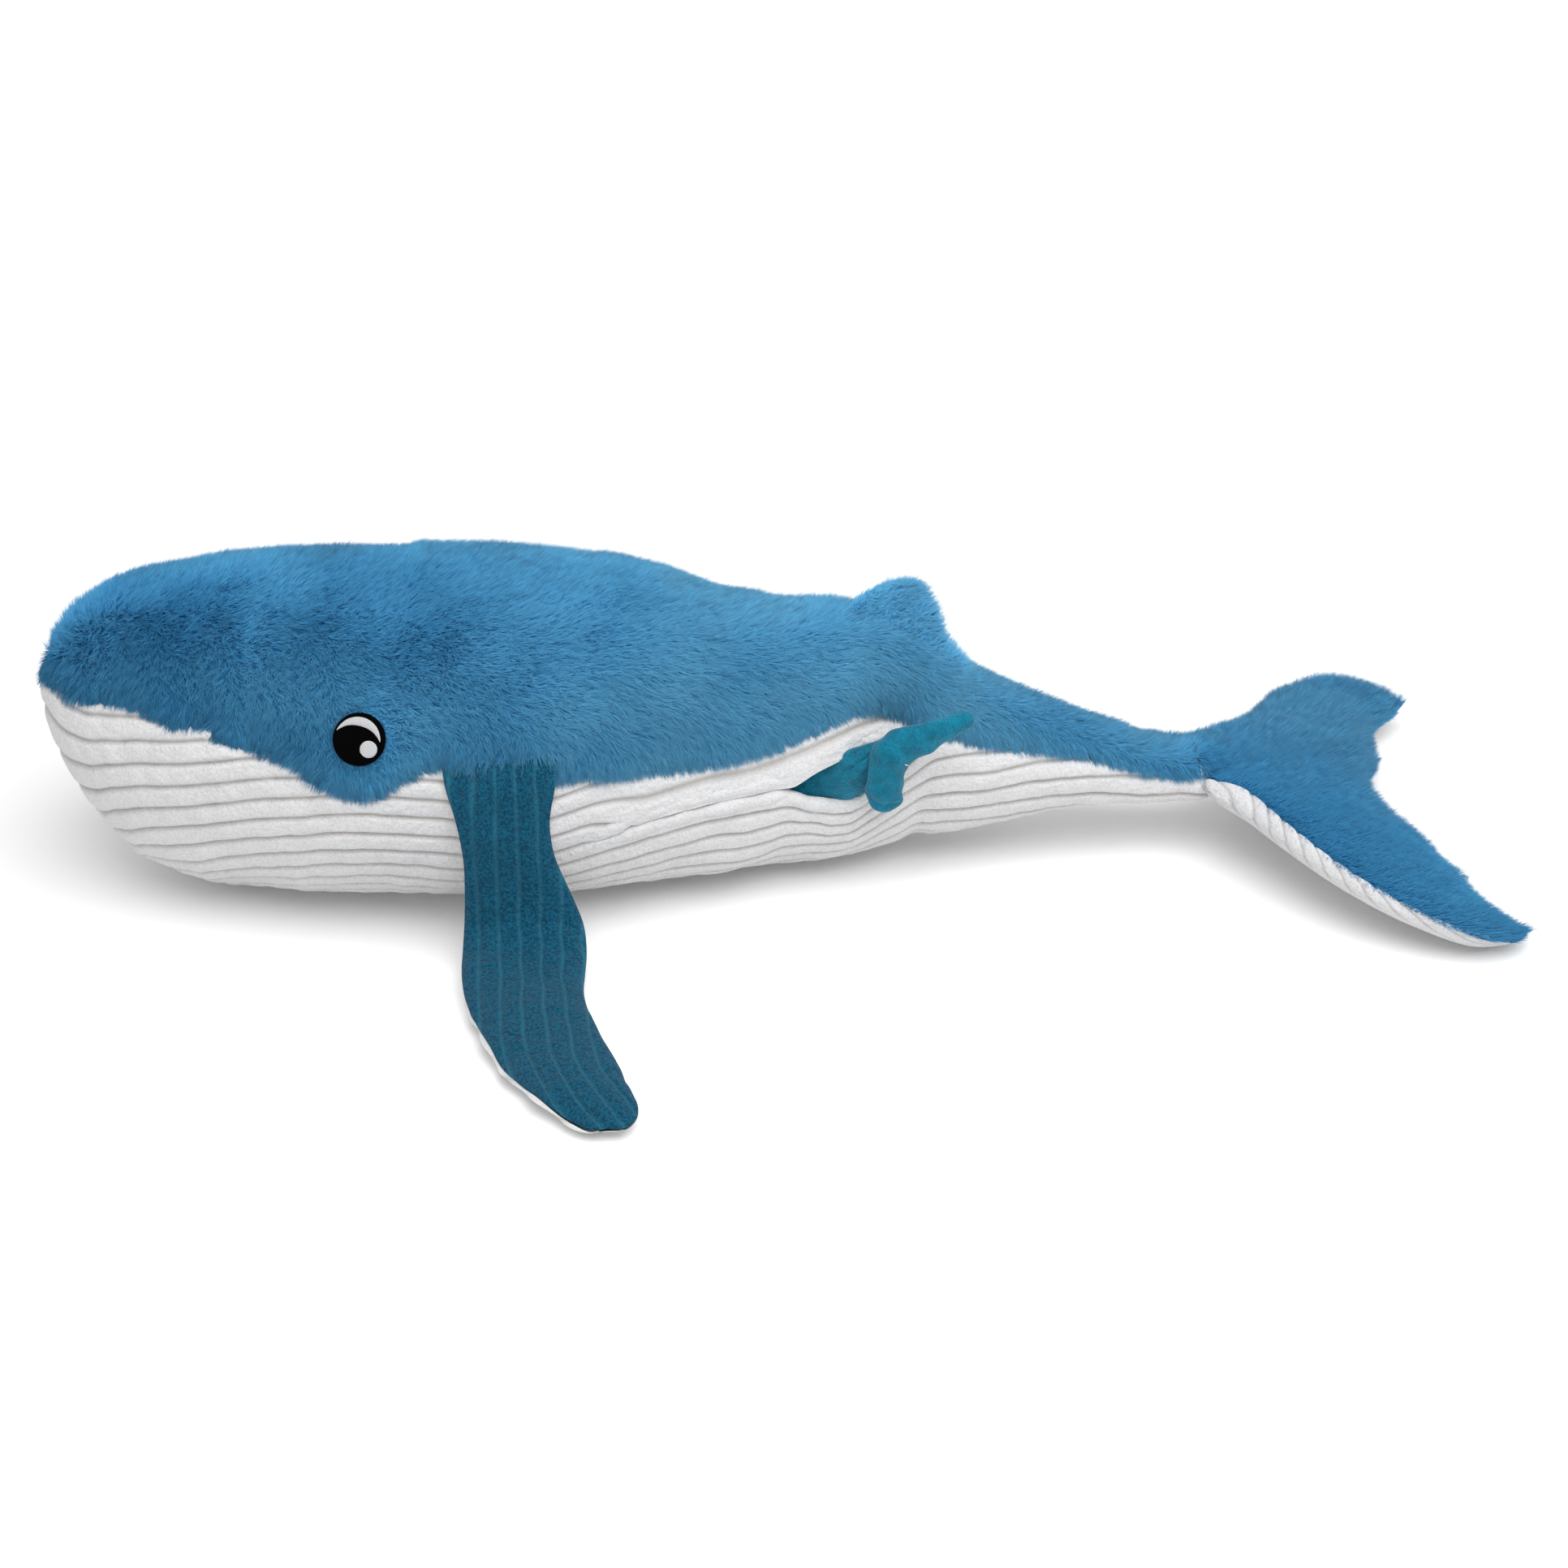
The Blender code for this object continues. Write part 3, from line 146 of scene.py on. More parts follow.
# Flippers
FLIPPER_ROOT_Z = BODY_HEIGHT * 0.5576
FLIPPER_REACH = 0.207
FLIPPER_HALF_THICKNESS = 0.0105
FLIPPER_ROOT_HALF_THICKNESS = 0.0060
FLIPPER_TUCK = 0.0020
FLIPPER_WIDTH = 0.078
FLIPPER_AHEAD_SHARE = 0.3515
FLIPPER_LINE_SHARES = np.array([
    (0.00, 0.000, 1.000), (0.10, 0.015, 0.780), (0.22, 0.025, 0.480), (0.30, 0.050, 0.260),
    (0.38, 0.150, 0.125), (0.46, 0.290, 0.092), (0.60, 0.480, 0.090), (0.74, 0.700, 0.088),
    (0.88, 0.880, 0.080), (1.00, 1.000, 0.062),
])
FLIPPER_OUTLINE_SHARES = np.array([
    (0.00, 0.00, 0.90, 0.57), (0.10, 0.10, 0.82, 0.70), (0.19, 0.14, 0.87, 0.86), (0.30, 0.12, 1.07, 1.00),
    (0.38, 0.10, 1.10, 1.00), (0.45, 0.13, 1.07, 1.00), (0.55, 0.21, 1.12, 0.98), (0.65, 0.35, 1.23, 0.95),
    (0.75, 0.52, 1.38, 0.90), (0.82, 0.68, 1.43, 0.83), (0.87, 0.79, 1.49, 0.78), (0.94, 0.97, 1.52, 0.62),
    (1.00, 1.14, 1.47, 0.34),
])
# Line of one groove down the flipper, and how far the root is tucked up under the fur
FLIPPER_RIB_ROWS = np.array([
    (0.00, -160.0), (0.20, -160.5), (0.50, -158.0), (0.65, -154.5), (0.735, -150.0), (0.82, -142.5),
    (0.90, -133.4), (1.00, -119.0),
]) * [1.0, MM]
FLIPPER_RIB_PITCH = 0.0130
FLIPPER_TUCK_UP = 0.013
FLIPPER_TUCK_SHARE = 0.06

# Dorsal fin
FIN_BASE_X = 0.090
FIN_TOP_Z = BODY_HEIGHT * 0.8986
FIN_HEIGHT = 0.065
FIN_HALF_LENGTH = 0.044
FIN_HALF_THICKNESS = 0.015
FIN_SECTION_SHARES = np.array([
    (-0.15, -0.12, 1.22, 1.00), (0.00, -0.17, 1.18, 1.00), (0.30, -0.26, 0.94, 0.95),
    (0.55, -0.26, 0.82, 0.86), (0.785, -0.23, 0.64, 0.74), (0.92, -0.12, 0.46, 0.56),
    (1.00, -0.06, 0.34, 0.30),
])

# Eyes
EYE_ALONG_SHARE = 0.285
EYE_HEIGHT_SHARE = 0.382
EYE_RADIUS = 0.0165
EYE_RIM = 0.0023
EYE_CRESCENT_DEPTH = 0.0070
EYE_GLINT_RADIUS = 0.0056
EYE_GLINT_BACK = 0.0070
EYE_GLINT_DOWN = 0.0062

# Pouch
POUCH_CENTRE_X = -0.0115
POUCH_CENTRE_Z = BODY_HEIGHT * 0.3525
POUCH_HALF_LENGTH = 0.0955
POUCH_HALF_HEIGHT = 0.0325
POUCH_FLOOR_Y = -0.027
POUCH_SLANT = 0.32
POUCH_DEPTH = 0.0665
LIP_FIRST_X = -0.111
LIP_LAST_X = 0.088
LIP_END_REACH = 0.016

# Small whale
BABY_NOSE_X = -0.0970
BABY_BACK_DEPTH = 0.0120
BABY_LENGTH = 0.166
BABY_HALF_DEPTH = 0.0215
BABY_HALF_WIDTH = 0.0220
BABY_OUTWARD = 0.0470
BABY_LIFT = 0.0385
BABY_Z = POUCH_CENTRE_Z + 0.0010
BABY_STATION_SHARES = np.array([
    (0.000, 0.00, 0.00, 0.10, 0.10), (0.030, 0.00, 0.00, 0.42, 0.46), (0.110, 0.00, 0.00, 0.80, 0.84),
    (0.250, 0.00, 0.00, 1.00, 1.00), (0.430, 0.00, 0.00, 1.00, 1.00), (0.600, 0.05, 0.03, 0.82, 0.82),
    (0.740, 0.34, 0.20, 0.64, 0.64), (0.860, 0.72, 0.46, 0.50, 0.50), (0.940, 0.92, 0.70, 0.42, 0.42),
    (1.000, 1.00, 0.95, 0.36, 0.38),
])
BABY_SEAM_SHARES = np.array([
    (0.00, 0.30), (0.12, 0.16), (0.22, -0.28), (0.34, -0.36), (0.46, -0.60), (0.60, -0.80), (0.72, -0.90),
    (1.00, -0.92),
])
BABY_EYE_SHARE = 0.265
BABY_EYE_RADIUS = 0.0062
BABY_FLIPPER_SHARE = 0.36
BABY_FLIPPER_LENGTH = 0.056
BABY_FLIPPER_HALF_WIDTH = 0.0085
BABY_FLIPPER_HALF_THICKNESS = 0.0032
BABY_FLIPPER_SPREAD = 0.0150
# How the stock fills the mouth of the pouch
STOCK_SWELL_AT = 0.84
STOCK_SWELL_SHIFT = np.array([0.0, 0.0115, -0.0110])
STOCK_SWELL_WIDTH = 0.0080
# Flukes as one bent band from the lower to the upper tip: x, height, half width and half thickness
SMALL_FLUKE_ROWS = np.array([
    (-1.00, 71.5, 68.5, 10.5, 6.5), (-0.75, 71.5, 79.0, 11.6, 8.0), (-0.45, 72.0, 92.0, 12.0, 8.8),
    (-0.15, 73.8, 105.0, 12.6, 9.4), (0.05, 77.5, 112.0, 12.8, 9.6), (0.20, 83.0, 115.6, 12.0, 9.0),
    (0.45, 95.8, 120.5, 10.2, 7.6), (0.72, 112.5, 128.2, 7.6, 6.0), (1.00, 127.0, 135.5, 4.6, 4.0),
]) * [1.0, MM, MM, MM, MM]
SMALL_FLUKE_Y = -0.0885

# Stage
LAMP_PLACE = (0.42, -1.10, 2.50)
LAMP_TARGET = (0.0, 0.0, 0.05)
LAMP_SIZE = 3.0
VIEW_TARGET = (0.01, -0.02, 0.055)
SENSOR_WIDTH = 36.0

# Ribs of the plush: how far their lines slide down the side along the body, in millimetres,
# and how far ahead of the keel's end they wrap round the chin
RIB_SHIFT_ROWS = np.array([
    (-475, 0), (-119, 0), (-73, -6), (-42, -10), (-12, -20), (20, -25), (84, -26), (101, -26), (149, -37),
    (199, -48), (232, -55), (300, -66),
]) * MM
RIB_WRAP_ROWS = np.array([
    (-475, 244), (-467, 226), (-460, 213), (-452, 200), (-442, 185), (-432, 170), (-418, 146), (-402, 125),
    (-385, 108), (-368, 92), (-352, 78), (-336, 67), (-321, 55.5), (-305, 43.5), (-290, 33), (-274, 20),
    (-259, 11), (-240, 0), (300, 0),
]) * MM
RIB_WRAP_POWER = 1.5
RIB_FIRST = 0.005
POUCH_UPPER_COUNT = 0.173
POUCH_LOWER_COUNT = 0.156
SEAM_TUCK = 0.004

# Unevenness of the fur: by the place on the fabric, by the tuft, by the small tuft in it, by the hair
TURN_PARTS = (0.24, 0.45, 0.30, 0.22)
LEAN_PARTS = (0.07, 0.12, 0.15, 0.09)
LEAN_AT_HEM = 0.34
TINT_PARTS = (0.11, 0.14, 0.28, 0.07)
# Spacing of the small tuft beside the tuft's, and how far a root goes into the fabric
SMALL_TUFT_SHARE = 0.45
ROOT_SINK = 0.0008

# Least heights over the floor
RIB_FLOOR = 0.0004
FLUKE_FLOOR = 0.0005
FUR_FLOOR = 0.0006


def rising(value, start, reach):
    """From 0 at start to 1 a reach further on."""
    return np.clip((value - start) / reach, 0, 1)


def falling(value, end, reach):
    """From 1 a reach before end to 0 at end."""
    return np.clip((end - value) / reach, 0, 1)


def hump(value, middle, reach):
    """Bell curve exp(-((value - middle) / reach) ** 2)."""
    return np.exp(-((value - middle) / reach) ** 2)


def rounded(share, power=2):
    """Round end sqrt(1 - share ** power): 1 at share 0 and 0 at share 1."""
    return np.sqrt(np.clip(1 - share ** power, 0, 1))


def glide(rows, column, at):
    """Smooth curve through one column of a table whose first column is the place.

    A cubic between neighbouring rows whose slopes never carry it past their values.
    """
    places = rows[:, 0]
    values = rows[:, column]
    steps = np.diff(places)
    rises = np.diff(values) / steps
    before = rises[:-1]
    after = rises[1:]
    same_way = before * after > 0
    joined = np.where(same_way, before + after, 1.0)
    slopes = np.zeros(len(values))
    slopes[1:-1] = np.where(same_way, 2 * before * after / joined, 0.0)
    slopes[0] = rises[0]
    slopes[-1] = rises[-1]
    at = np.clip(np.asarray(at, dtype=float), places[0], places[-1])
    index = np.clip(np.searchsorted(places, at, side="right") - 1, 0, len(steps) - 1)
    step = steps[index]
    t = (at - places[index]) / step
    start = (1 + 2 * t) * (1 - t) ** 2 * values[index]
    end = t ** 2 * (3 - 2 * t) * values[index + 1]
    leave = t * (1 - t) ** 2 * step * slopes[index]
    arrive = t ** 2 * (t - 1) * step * slopes[index + 1]
    return start + end + leave + arrive


def round_section(angle, upper, lower):
    """Sideways and upward shares of a rounded section at an angle from its side."""
    side = np.cos(angle)
    rise = np.sin(angle)
    power = np.where(rise >= 0, upper, lower)
    radius = (np.abs(side) ** power + np.abs(rise) ** power) ** (-1 / power)
    return radius * side, radius * rise


def shrink(size, depth, least):
    """A half size at a depth under the surface; near a closed end the whole form shrinks."""
    return size * (1 - depth / np.maximum(size, least))


def place_x(along):
    """Place on the length axis of a share of the body's length."""
    return NOSE_X + along * BODY_LENGTH


def share_at(x):
    """Share of the body's length at a place on the length axis."""
    return (x - NOSE_X) / BODY_LENGTH


def body_middle(along):
    """Height of the middle of the section, and its half height."""
    x = place_x(np.asarray(along, float))
    top = BODY_HEIGHT * glide(BODY_STATION_SHARES, 1, along) + glide(BACK_RISE_ROWS, 1, x)
    bottom = BODY_HEIGHT * glide(BODY_STATION_SHARES, 2, along) - glide(CHIN_DROP_ROWS, 1, x)
    return (top + bottom) / 2, (top - bottom) / 2


def body_half_width(along):
    """Half width of the body at a place along it."""
    return BODY_HALF_WIDTH * glide(BODY_STATION_SHARES, 3, along)


def body_surface(along, angle, depth):
    """Points of the body at a depth under its surface; angle 0 is the left side, 90 degrees the top."""
    along, angle, depth = np.broadcast_arrays(*(np.asarray(a, float) for a in (along, angle, depth)))
    middle, tall = body_middle(along)
    wide = body_half_width(along)
    cap = np.clip(1 - along / HEAD_CAP_SHARE, 0, 1)
    side, rise = round_section(angle, UPPER_ROUNDNESS, LOWER_ROUNDNESS)
    x = place_x(along) + depth * cap ** 2
    y = -shrink(wide, depth, body_half_width(HEAD_CAP_SHARE) * cap) * side
    z = middle + shrink(tall, depth, body_middle(HEAD_CAP_SHARE)[1] * cap) * rise
    return np.stack([x, y, z], axis=-1)


def seam_angle(along):
    """Angle of the seam between fur and ribbed plush above the left side."""
    drop = glide(CHIN_DROP_ROWS, 1, place_x(np.asarray(along, float)))
    raised = (glide(SEAM_RAISE_ROWS, 1, along) + 0.35 * drop) / body_middle(along)[1]
    return np.arcsin(np.minimum(glide(SEAM_HEIGHT_SHARES, 1, along) + raised, 0.78))


def skin_half_width(x, height, most, inset=0.0):
    """Half width of the body at a place and height, less an inset; most keeps it off the top and bottom."""
    along = share_at(x)
    middle, tall = body_middle(along)
    rise = np.clip((height - middle) / tall, -most, most)
    power = np.where(rise > 0, UPPER_ROUNDNESS, LOWER_ROUNDNESS)
    return (body_half_width(along) - inset) * (1 - np.abs(rise) ** power) ** (1 / power)


def unit(vectors):
    """Vectors of length one."""
    return vectors / np.maximum(np.linalg.norm(vectors, axis=-1, keepdims=True), 1e-12)


def wander(points, size, seed, waves=12):
    """Smooth random value near -1 to 1 in space: a sum of plane waves about size long."""
    dice = np.random.default_rng(seed)
    ways = unit(dice.normal(size=(waves, 3)))
    lengths = size * dice.uniform(0.6, 1.7, waves)
    phases = dice.uniform(0, 2 * math.pi, waves)
    turns = points @ (ways / lengths[:, None]).T * (2 * math.pi) + phases
    return np.sin(turns).sum(axis=-1) / math.sqrt(waves / 2) / 1.6


def grid_quads(rows, columns, wrap=False):
    """Corners of the quads of a grid of points; wrap joins the last column to the first."""
    index = np.arange(rows * columns).reshape(rows, columns)
    if wrap:
        index = np.concatenate([index, index[:, :1]], axis=1)
    return np.stack([index[:-1, :-1], index[:-1, 1:], index[1:, 1:], index[1:, :-1]], axis=-1).reshape(-1, 4)


def new_piece(name, points, faces, material, outward=None, uv=None):
    """An object from points and faces of equal size, smooth, with faces turned to the side of outward."""
    points = np.asarray(points, dtype=float).reshape(-1, 3)
    faces = np.asarray(faces)
    if outward is not None:
        a, b, c = (points[faces[:, i]] for i in (0, 1, 2))
        facing = (np.cross(b - a, c - b) * np.asarray(outward).reshape(-1, 3)[faces[:, 0]]).sum()
        if facing < 0:
            faces = faces[:, ::-1]
            uv = uv[:, ::-1] if uv is not None and uv.ndim == 3 else uv
    sides = faces.shape[1]
    mesh = bpy.data.meshes.new(name)
    mesh.vertices.add(len(points))
    mesh.vertices.foreach_set("co", points.ravel())
    mesh.loops.add(faces.size)
    mesh.loops.foreach_set("vertex_index", np.ascontiguousarray(faces).ravel())
    mesh.polygons.add(len(faces))
    mesh.polygons.foreach_set("loop_start", np.arange(0, faces.size, sides))
    mesh.update(calc_edges=True)
    mesh.shade_smooth()
    if uv is not None:
        layer = mesh.uv_layers.new(name="OFBake")
        corners = uv if uv.ndim == 3 else uv[faces]
        layer.uv.foreach_set("vector", np.ascontiguousarray(corners).ravel())
    mesh.materials.append(material)
    made = bpy.data.objects.new(name, mesh)
    bpy.context.scene.collection.objects.link(made)
    return made


def add_layer(made, name, values):
    """A second map on a piece, from two values at each point."""
    layer = made.data.uv_layers.new(name=name)
    corner = np.empty(len(made.data.loops), dtype=np.int64)
    made.data.loops.foreach_get("vertex_index", corner)
    layer.uv.foreach_set("vector", np.ascontiguousarray(values.reshape(-1, 2)[corner]).ravel())
    return layer


def even_map(rows, columns):
    """Map of a grid that fills the whole square."""
    u, v = np.meshgrid(np.linspace(0, 1, columns), np.linspace(0, 1, rows))
    return np.stack([u, v], axis=-1).reshape(-1, 2)


def sheet(name, points, outward, material, rib=None):
    """A sheet of fabric over a grid of points, with its rib count as a second map."""
    rows, columns = points.shape[:2]
    made = new_piece(name, points, grid_quads(rows, columns), material, outward, even_map(rows, columns))
    if rib is not None:
        add_layer(made, "Ribs", np.stack([rib, np.zeros_like(rib)], axis=-1))
    return made


def closed_leaf(name, upper, lower, material):
    """Closed form between two grids of points with the same edge."""
    rows, columns = upper.shape[:2]
    count = rows * columns
    quads = grid_quads(rows, columns)
    index = np.arange(count).reshape(rows, columns)
    edge = np.concatenate([index[0, :-1], index[:-1, -1], index[-1, :0:-1], index[:0:-1, 0]])
    after = np.roll(edge, -1)
    rim = np.stack([edge, edge + count, after + count, after], axis=-1)
    faces = np.concatenate([quads, quads[:, ::-1] + count, rim])
    points = np.concatenate([upper.reshape(-1, 3), lower.reshape(-1, 3)])
    return new_piece(name, points, faces, material, points - points.mean(axis=0))


def pole(ring):
    """A ring of points drawn in to its middle, which closes a form."""
    middle = ring.mean(axis=1, keepdims=True)
    return middle + (ring - middle) * 1e-3


def closed_loft(name, rings, material):
    """Closed form over a grid whose columns go round and whose first and last rings shrink to a pole."""
    count, sides = rings.shape[:2]
    rings = np.concatenate([pole(rings[:1]), rings, pole(rings[-1:])])
    outward = rings - rings.mean(axis=1, keepdims=True)
    return new_piece(name, rings, grid_quads(count + 2, sides, wrap=True), material, outward)


class Patch:
    """A surface of two parameters from 0 to 1 with its own grid of cells, on which hairs stand.

    surface gives points for arrays of both parameters and a depth; outward gives the free side.
    """

    def __init__(self, surface, outward, rows=160, columns=120, edge_share=1.0):
        self.surface = surface
        self.outward = outward
        self.rows = rows
        self.columns = columns
        u, v = np.meshgrid(np.linspace(0, 1, rows + 1), np.linspace(0, 1, columns + 1), indexing="ij")
        points = surface(u, v, 0.0)
        across = np.linalg.norm(np.diff(points, axis=1), axis=-1)
        along = np.linalg.norm(np.diff(points, axis=0), axis=-1)
        self.around = np.concatenate([np.zeros((rows + 1, 1)), np.cumsum(across, axis=1)], axis=1)
        self.around -= self.around[:, columns // 2][:, None]
        self.forward = np.concatenate([np.zeros((1, columns + 1)), np.cumsum(along, axis=0)])
        side_a = points[1:, :-1] - points[:-1, :-1]
        side_b = points[:-1, 1:] - points[:-1, :-1]
        self.areas = np.linalg.norm(np.cross(side_a, side_b), axis=-1)
        self.areas[:, :2] *= edge_share
        self.areas[:, -2:] *= edge_share

    def to_edge(self, u, v):
        """Length over the surface to the nearer of the two long edges."""
        around = self.table(self.around, u, v)
        left = around - self.table(self.around, u, np.zeros_like(v))
        right = self.table(self.around, u, np.full_like(v, 1 - 1e-9)) - around
        return np.minimum(left, right)

    def scatter(self, density, dice):
        """Parameters of random places, with as many in each cell as its area calls for."""
        wanted = self.areas * density
        counts = np.floor(wanted + dice.random(wanted.shape)).astype(int).ravel()
        cells = np.repeat(np.arange(counts.size), counts)
        u = (cells // self.columns + dice.random(cells.size)) / self.rows
        v = (cells % self.columns + dice.random(cells.size)) / self.columns
        return u, v

    def table(self, values, u, v):
        """Values of a table at the grid's corners, read between them."""
        i = np.clip((u * self.rows).astype(int), 0, self.rows - 1)
        j = np.clip((v * self.columns).astype(int), 0, self.columns - 1)
        s = u * self.rows - i
        t = v * self.columns - j
        near = values[i, j] * (1 - t) + values[i, j + 1] * t
        far = values[i + 1, j] * (1 - t) + values[i + 1, j + 1] * t
        return near * (1 - s) + far * s

    def frames(self, u, v, depth):
        """Points with unit vectors along, across and outwards."""
        step = 1e-3
        points = self.surface(u, v, depth)
        forward = np.where(u > 0.5, -step, step)
        sideways = np.where(v > 0.5, -step, step)
        along = unit(self.surface(u + forward, v, depth) - points) * np.sign(forward)[:, None]
        across = unit(self.surface(u, v + sideways, depth) - points) * np.sign(sideways)[:, None]
        out = unit(np.cross(along, across))
        out *= np.where((out * self.outward(points)).sum(axis=-1) < 0, -1.0, 1.0)[:, None]
        across = unit(across - along * (across * along).sum(axis=-1)[:, None])
        return points, along, across, out


def tuft_pull(forward, around, cell, dice_seed):
    """Offset from each hair to the middle of its tuft, and a random number of the tuft.

    Tufts are the nearest of points jittered over a square net.
    """
    dice = np.random.default_rng(dice_seed)
    size = 128
    jitter = dice.uniform(0.1, 0.9, (size, size, 2))
    mood = dice.uniform(-1, 1, (size, size))
    a = forward / cell
    b = around / cell
    best = np.full(a.shape, np.inf)
    pull = np.zeros(a.shape + (2,))
    own = np.zeros(a.shape)
    for di in (-1, 0, 1):
        for dj in (-1, 0, 1):
            i = np.floor(a).astype(int) + di
            j = np.floor(b).astype(int) + dj
            middle = jitter[i % size, j % size]
            da = i + middle[..., 0] - a
            db = j + middle[..., 1] - b
            distance = da ** 2 + db ** 2
            closer = distance < best
            best = np.where(closer, distance, best)
            pull[closer] = np.stack([da, db], axis=-1)[closer] * cell
            own = np.where(closer, mood[i % size, j % size], own)
    return pull, own


def hair_piece(name, roots, tips, width, tint, material):
    """Straight three-sided hairs from roots to tips in one piece; their map holds tint and place."""
    way = unit(tips - roots)
    helper = np.where(np.abs(way[:, 2:]) < 0.9, [[0.0, 0.0, 1.0]], [[1.0, 0.0, 0.0]])
    side = unit(np.cross(way, helper))
    up = np.cross(way, side)
    turns = np.arange(3) * 2 * math.pi / 3
    ring = side[:, None] * np.cos(turns)[None, :, None] + up[:, None] * np.sin(turns)[None, :, None]
    base = roots[:, None] + ring * width[:, None, None]
    points = np.concatenate([base, tips[:, None]], axis=1)
    first = np.arange(len(roots))[:, None, None] * 4
    faces = (first + np.array([(0, 1, 3), (1, 2, 3), (2, 0, 3)])[None]).reshape(-1, 3)
    near = np.repeat(tint - 0.012, 3)
    far = np.repeat(tint + 0.012, 3)
    zero = np.zeros_like(near)
    uv = np.stack([np.stack([near, zero], -1), np.stack([far, zero], -1),
                   np.stack([(near + far) / 2, zero + 1], -1)], axis=1)
    return new_piece(name, points, faces, material, None, uv)


def back_painted_light(points):
    """Tint of the back fur with painted light and shade: painted shade makes it darker over the nose, painted
    light makes it paler past the middle.
    """
    x = points[:, 0]
    nose = falling(x, -0.20, 0.20) * falling(points[:, 2], 0.215, 0.07)
    # painted shade over the nose, painted light past the middle
    return 0.5 - 0.42 * nose + 0.38 * hump(x, 0.06, 0.18)


def fluke_painted_shade(points):
    """Tint of the flukes' fur with painted shade: darker than the back's, least on the far lobe, which is
    paler.
    """
    # painted shade: low tint on the flukes, rising towards the far lobe
    return 0.10 + 0.30 * np.clip(points[:, 1] / 0.06, 0, 1)


def hair_ways(points, patch_frames, way, moods, settings, edge, seed, dice):
    """Direction of each hair: the combed way turned about the fabric's normal, then raised off the fabric."""
    out = patch_frames[3]
    mood, small_mood = moods
    place, tuft, small, single = TURN_PARTS
    turn = place * wander(points, 0.085, seed + 3) + place * wander(points, 0.030, seed + 4)
    turn = turn + tuft * mood + small * small_mood
    turn = (turn + dice.normal(0, single, len(edge))) * (1 - 0.5 * edge)
    sideways = np.cross(out, way)
    way = way * np.cos(turn)[:, None] + sideways * np.sin(turn)[:, None]
    place, tuft, small, single = LEAN_PARTS
    lean = settings.lean + place * wander(points, 0.05, seed + 5) + tuft * mood + small * small_mood
    lean = np.clip(lean + LEAN_AT_HEM * edge + dice.normal(0, single, len(edge)), 0.15, 1.38)
    return way * np.sin(lean)[:, None] + out * np.cos(lean)[:, None]


def hair_tints(points, out, moods, tone, seed, dice):
    """Tint of each hair: by place, with painted shade darker on top and painted light paler on the shoulder,
    by which way the fabric faces, then by tuft and by hair.
    """
    mood, small_mood = moods
    place, tuft, small, single = TINT_PARTS
    calm = 0.50 if tone is back_painted_light else 0.15
    rise = np.clip(out[:, 2], 0, 1)
    tint = tone(points) + place * wander(points, 0.09, seed + 7)
    # painted shade on upward-facing fur and painted light on the shoulder
    tint = tint - 0.24 * rise ** 2 + 0.22 * hump(rise, 0.62, 0.16)
    tint = tint - (tuft * mood + small * small_mood) * (1 - calm * rise)
    return np.clip(tint + dice.normal(0, single, len(tint)), 0.03, 0.97)


def grow_fur(name, patch, settings, comb, seed, material, length_share=1.0, keep=None, depth=FUR_DEPTH,
             parts=1, hem=0.0, shorten=None, tone=back_painted_light):
    """Fur over a patch: hairs by area, combed by comb, leaning, gathered into tufts.

    comb gives for the points, their parameters and their frames the way the fur lies.
    Near the long edges hem raises the roots, lays the hairs flatter and keeps their way.
    """
    dice = np.random.default_rng(seed)
    u, v = patch.scatter(settings.density * settings.quick_share, dice)
    if keep is not None:
        kept = keep(u, v)
        u, v = u[kept], v[kept]
    edge = hump(patch.to_edge(u, v), 0, HEM_REACH) if hem else np.zeros_like(u)
    patch_frames = patch.frames(u, v, depth - hem * edge)
    points, along, across, out = patch_frames
    forward = patch.table(patch.forward, u, v)
    around = patch.table(patch.around, u, v)
    pull, mood = tuft_pull(forward, around, settings.tuft_size, seed + 1)
    small_pull, small_mood = tuft_pull(forward, around, settings.tuft_size * SMALL_TUFT_SHARE, seed + 2)
    moods = (mood, small_mood)
    way = comb(points, u, v, along, across, edge)
    way = hair_ways(points, patch_frames, way, moods, settings, edge, seed, dice)
    length = settings.length * length_share * (1 + 0.12 * wander(points, 0.04, seed + 6) + 0.10 * mood)
    length = length * dice.uniform(0.78, 1.14, len(u))
    if shorten is not None:
        length = length * shorten(points)
    tips = points + way * length[:, None]
    gather = settings.gather * dice.uniform(0.55, 1.0, len(u))
    tips += (along * pull[:, :1] + across * pull[:, 1:]) * gather[:, None]
    tips += (along * small_pull[:, :1] + across * small_pull[:, 1:]) * (gather * 0.6)[:, None]
    tips[:, 2] = np.maximum(tips[:, 2], FUR_FLOOR)
    roots = points - out * ROOT_SINK
    width = settings.hair_width * dice.uniform(0.75, 1.25, len(u)) * (1 + 0.3 * edge)
    tint = hair_tints(points, out, moods, tone, seed, dice)
    made = []
    for number, band in enumerate(np.array_split(np.argsort(forward), parts)):
        label = name if parts == 1 else f"{name}_{number + 1}"
        made.append(hair_piece(label, roots[band], tips[band], width[band], tint[band], material))
    return made


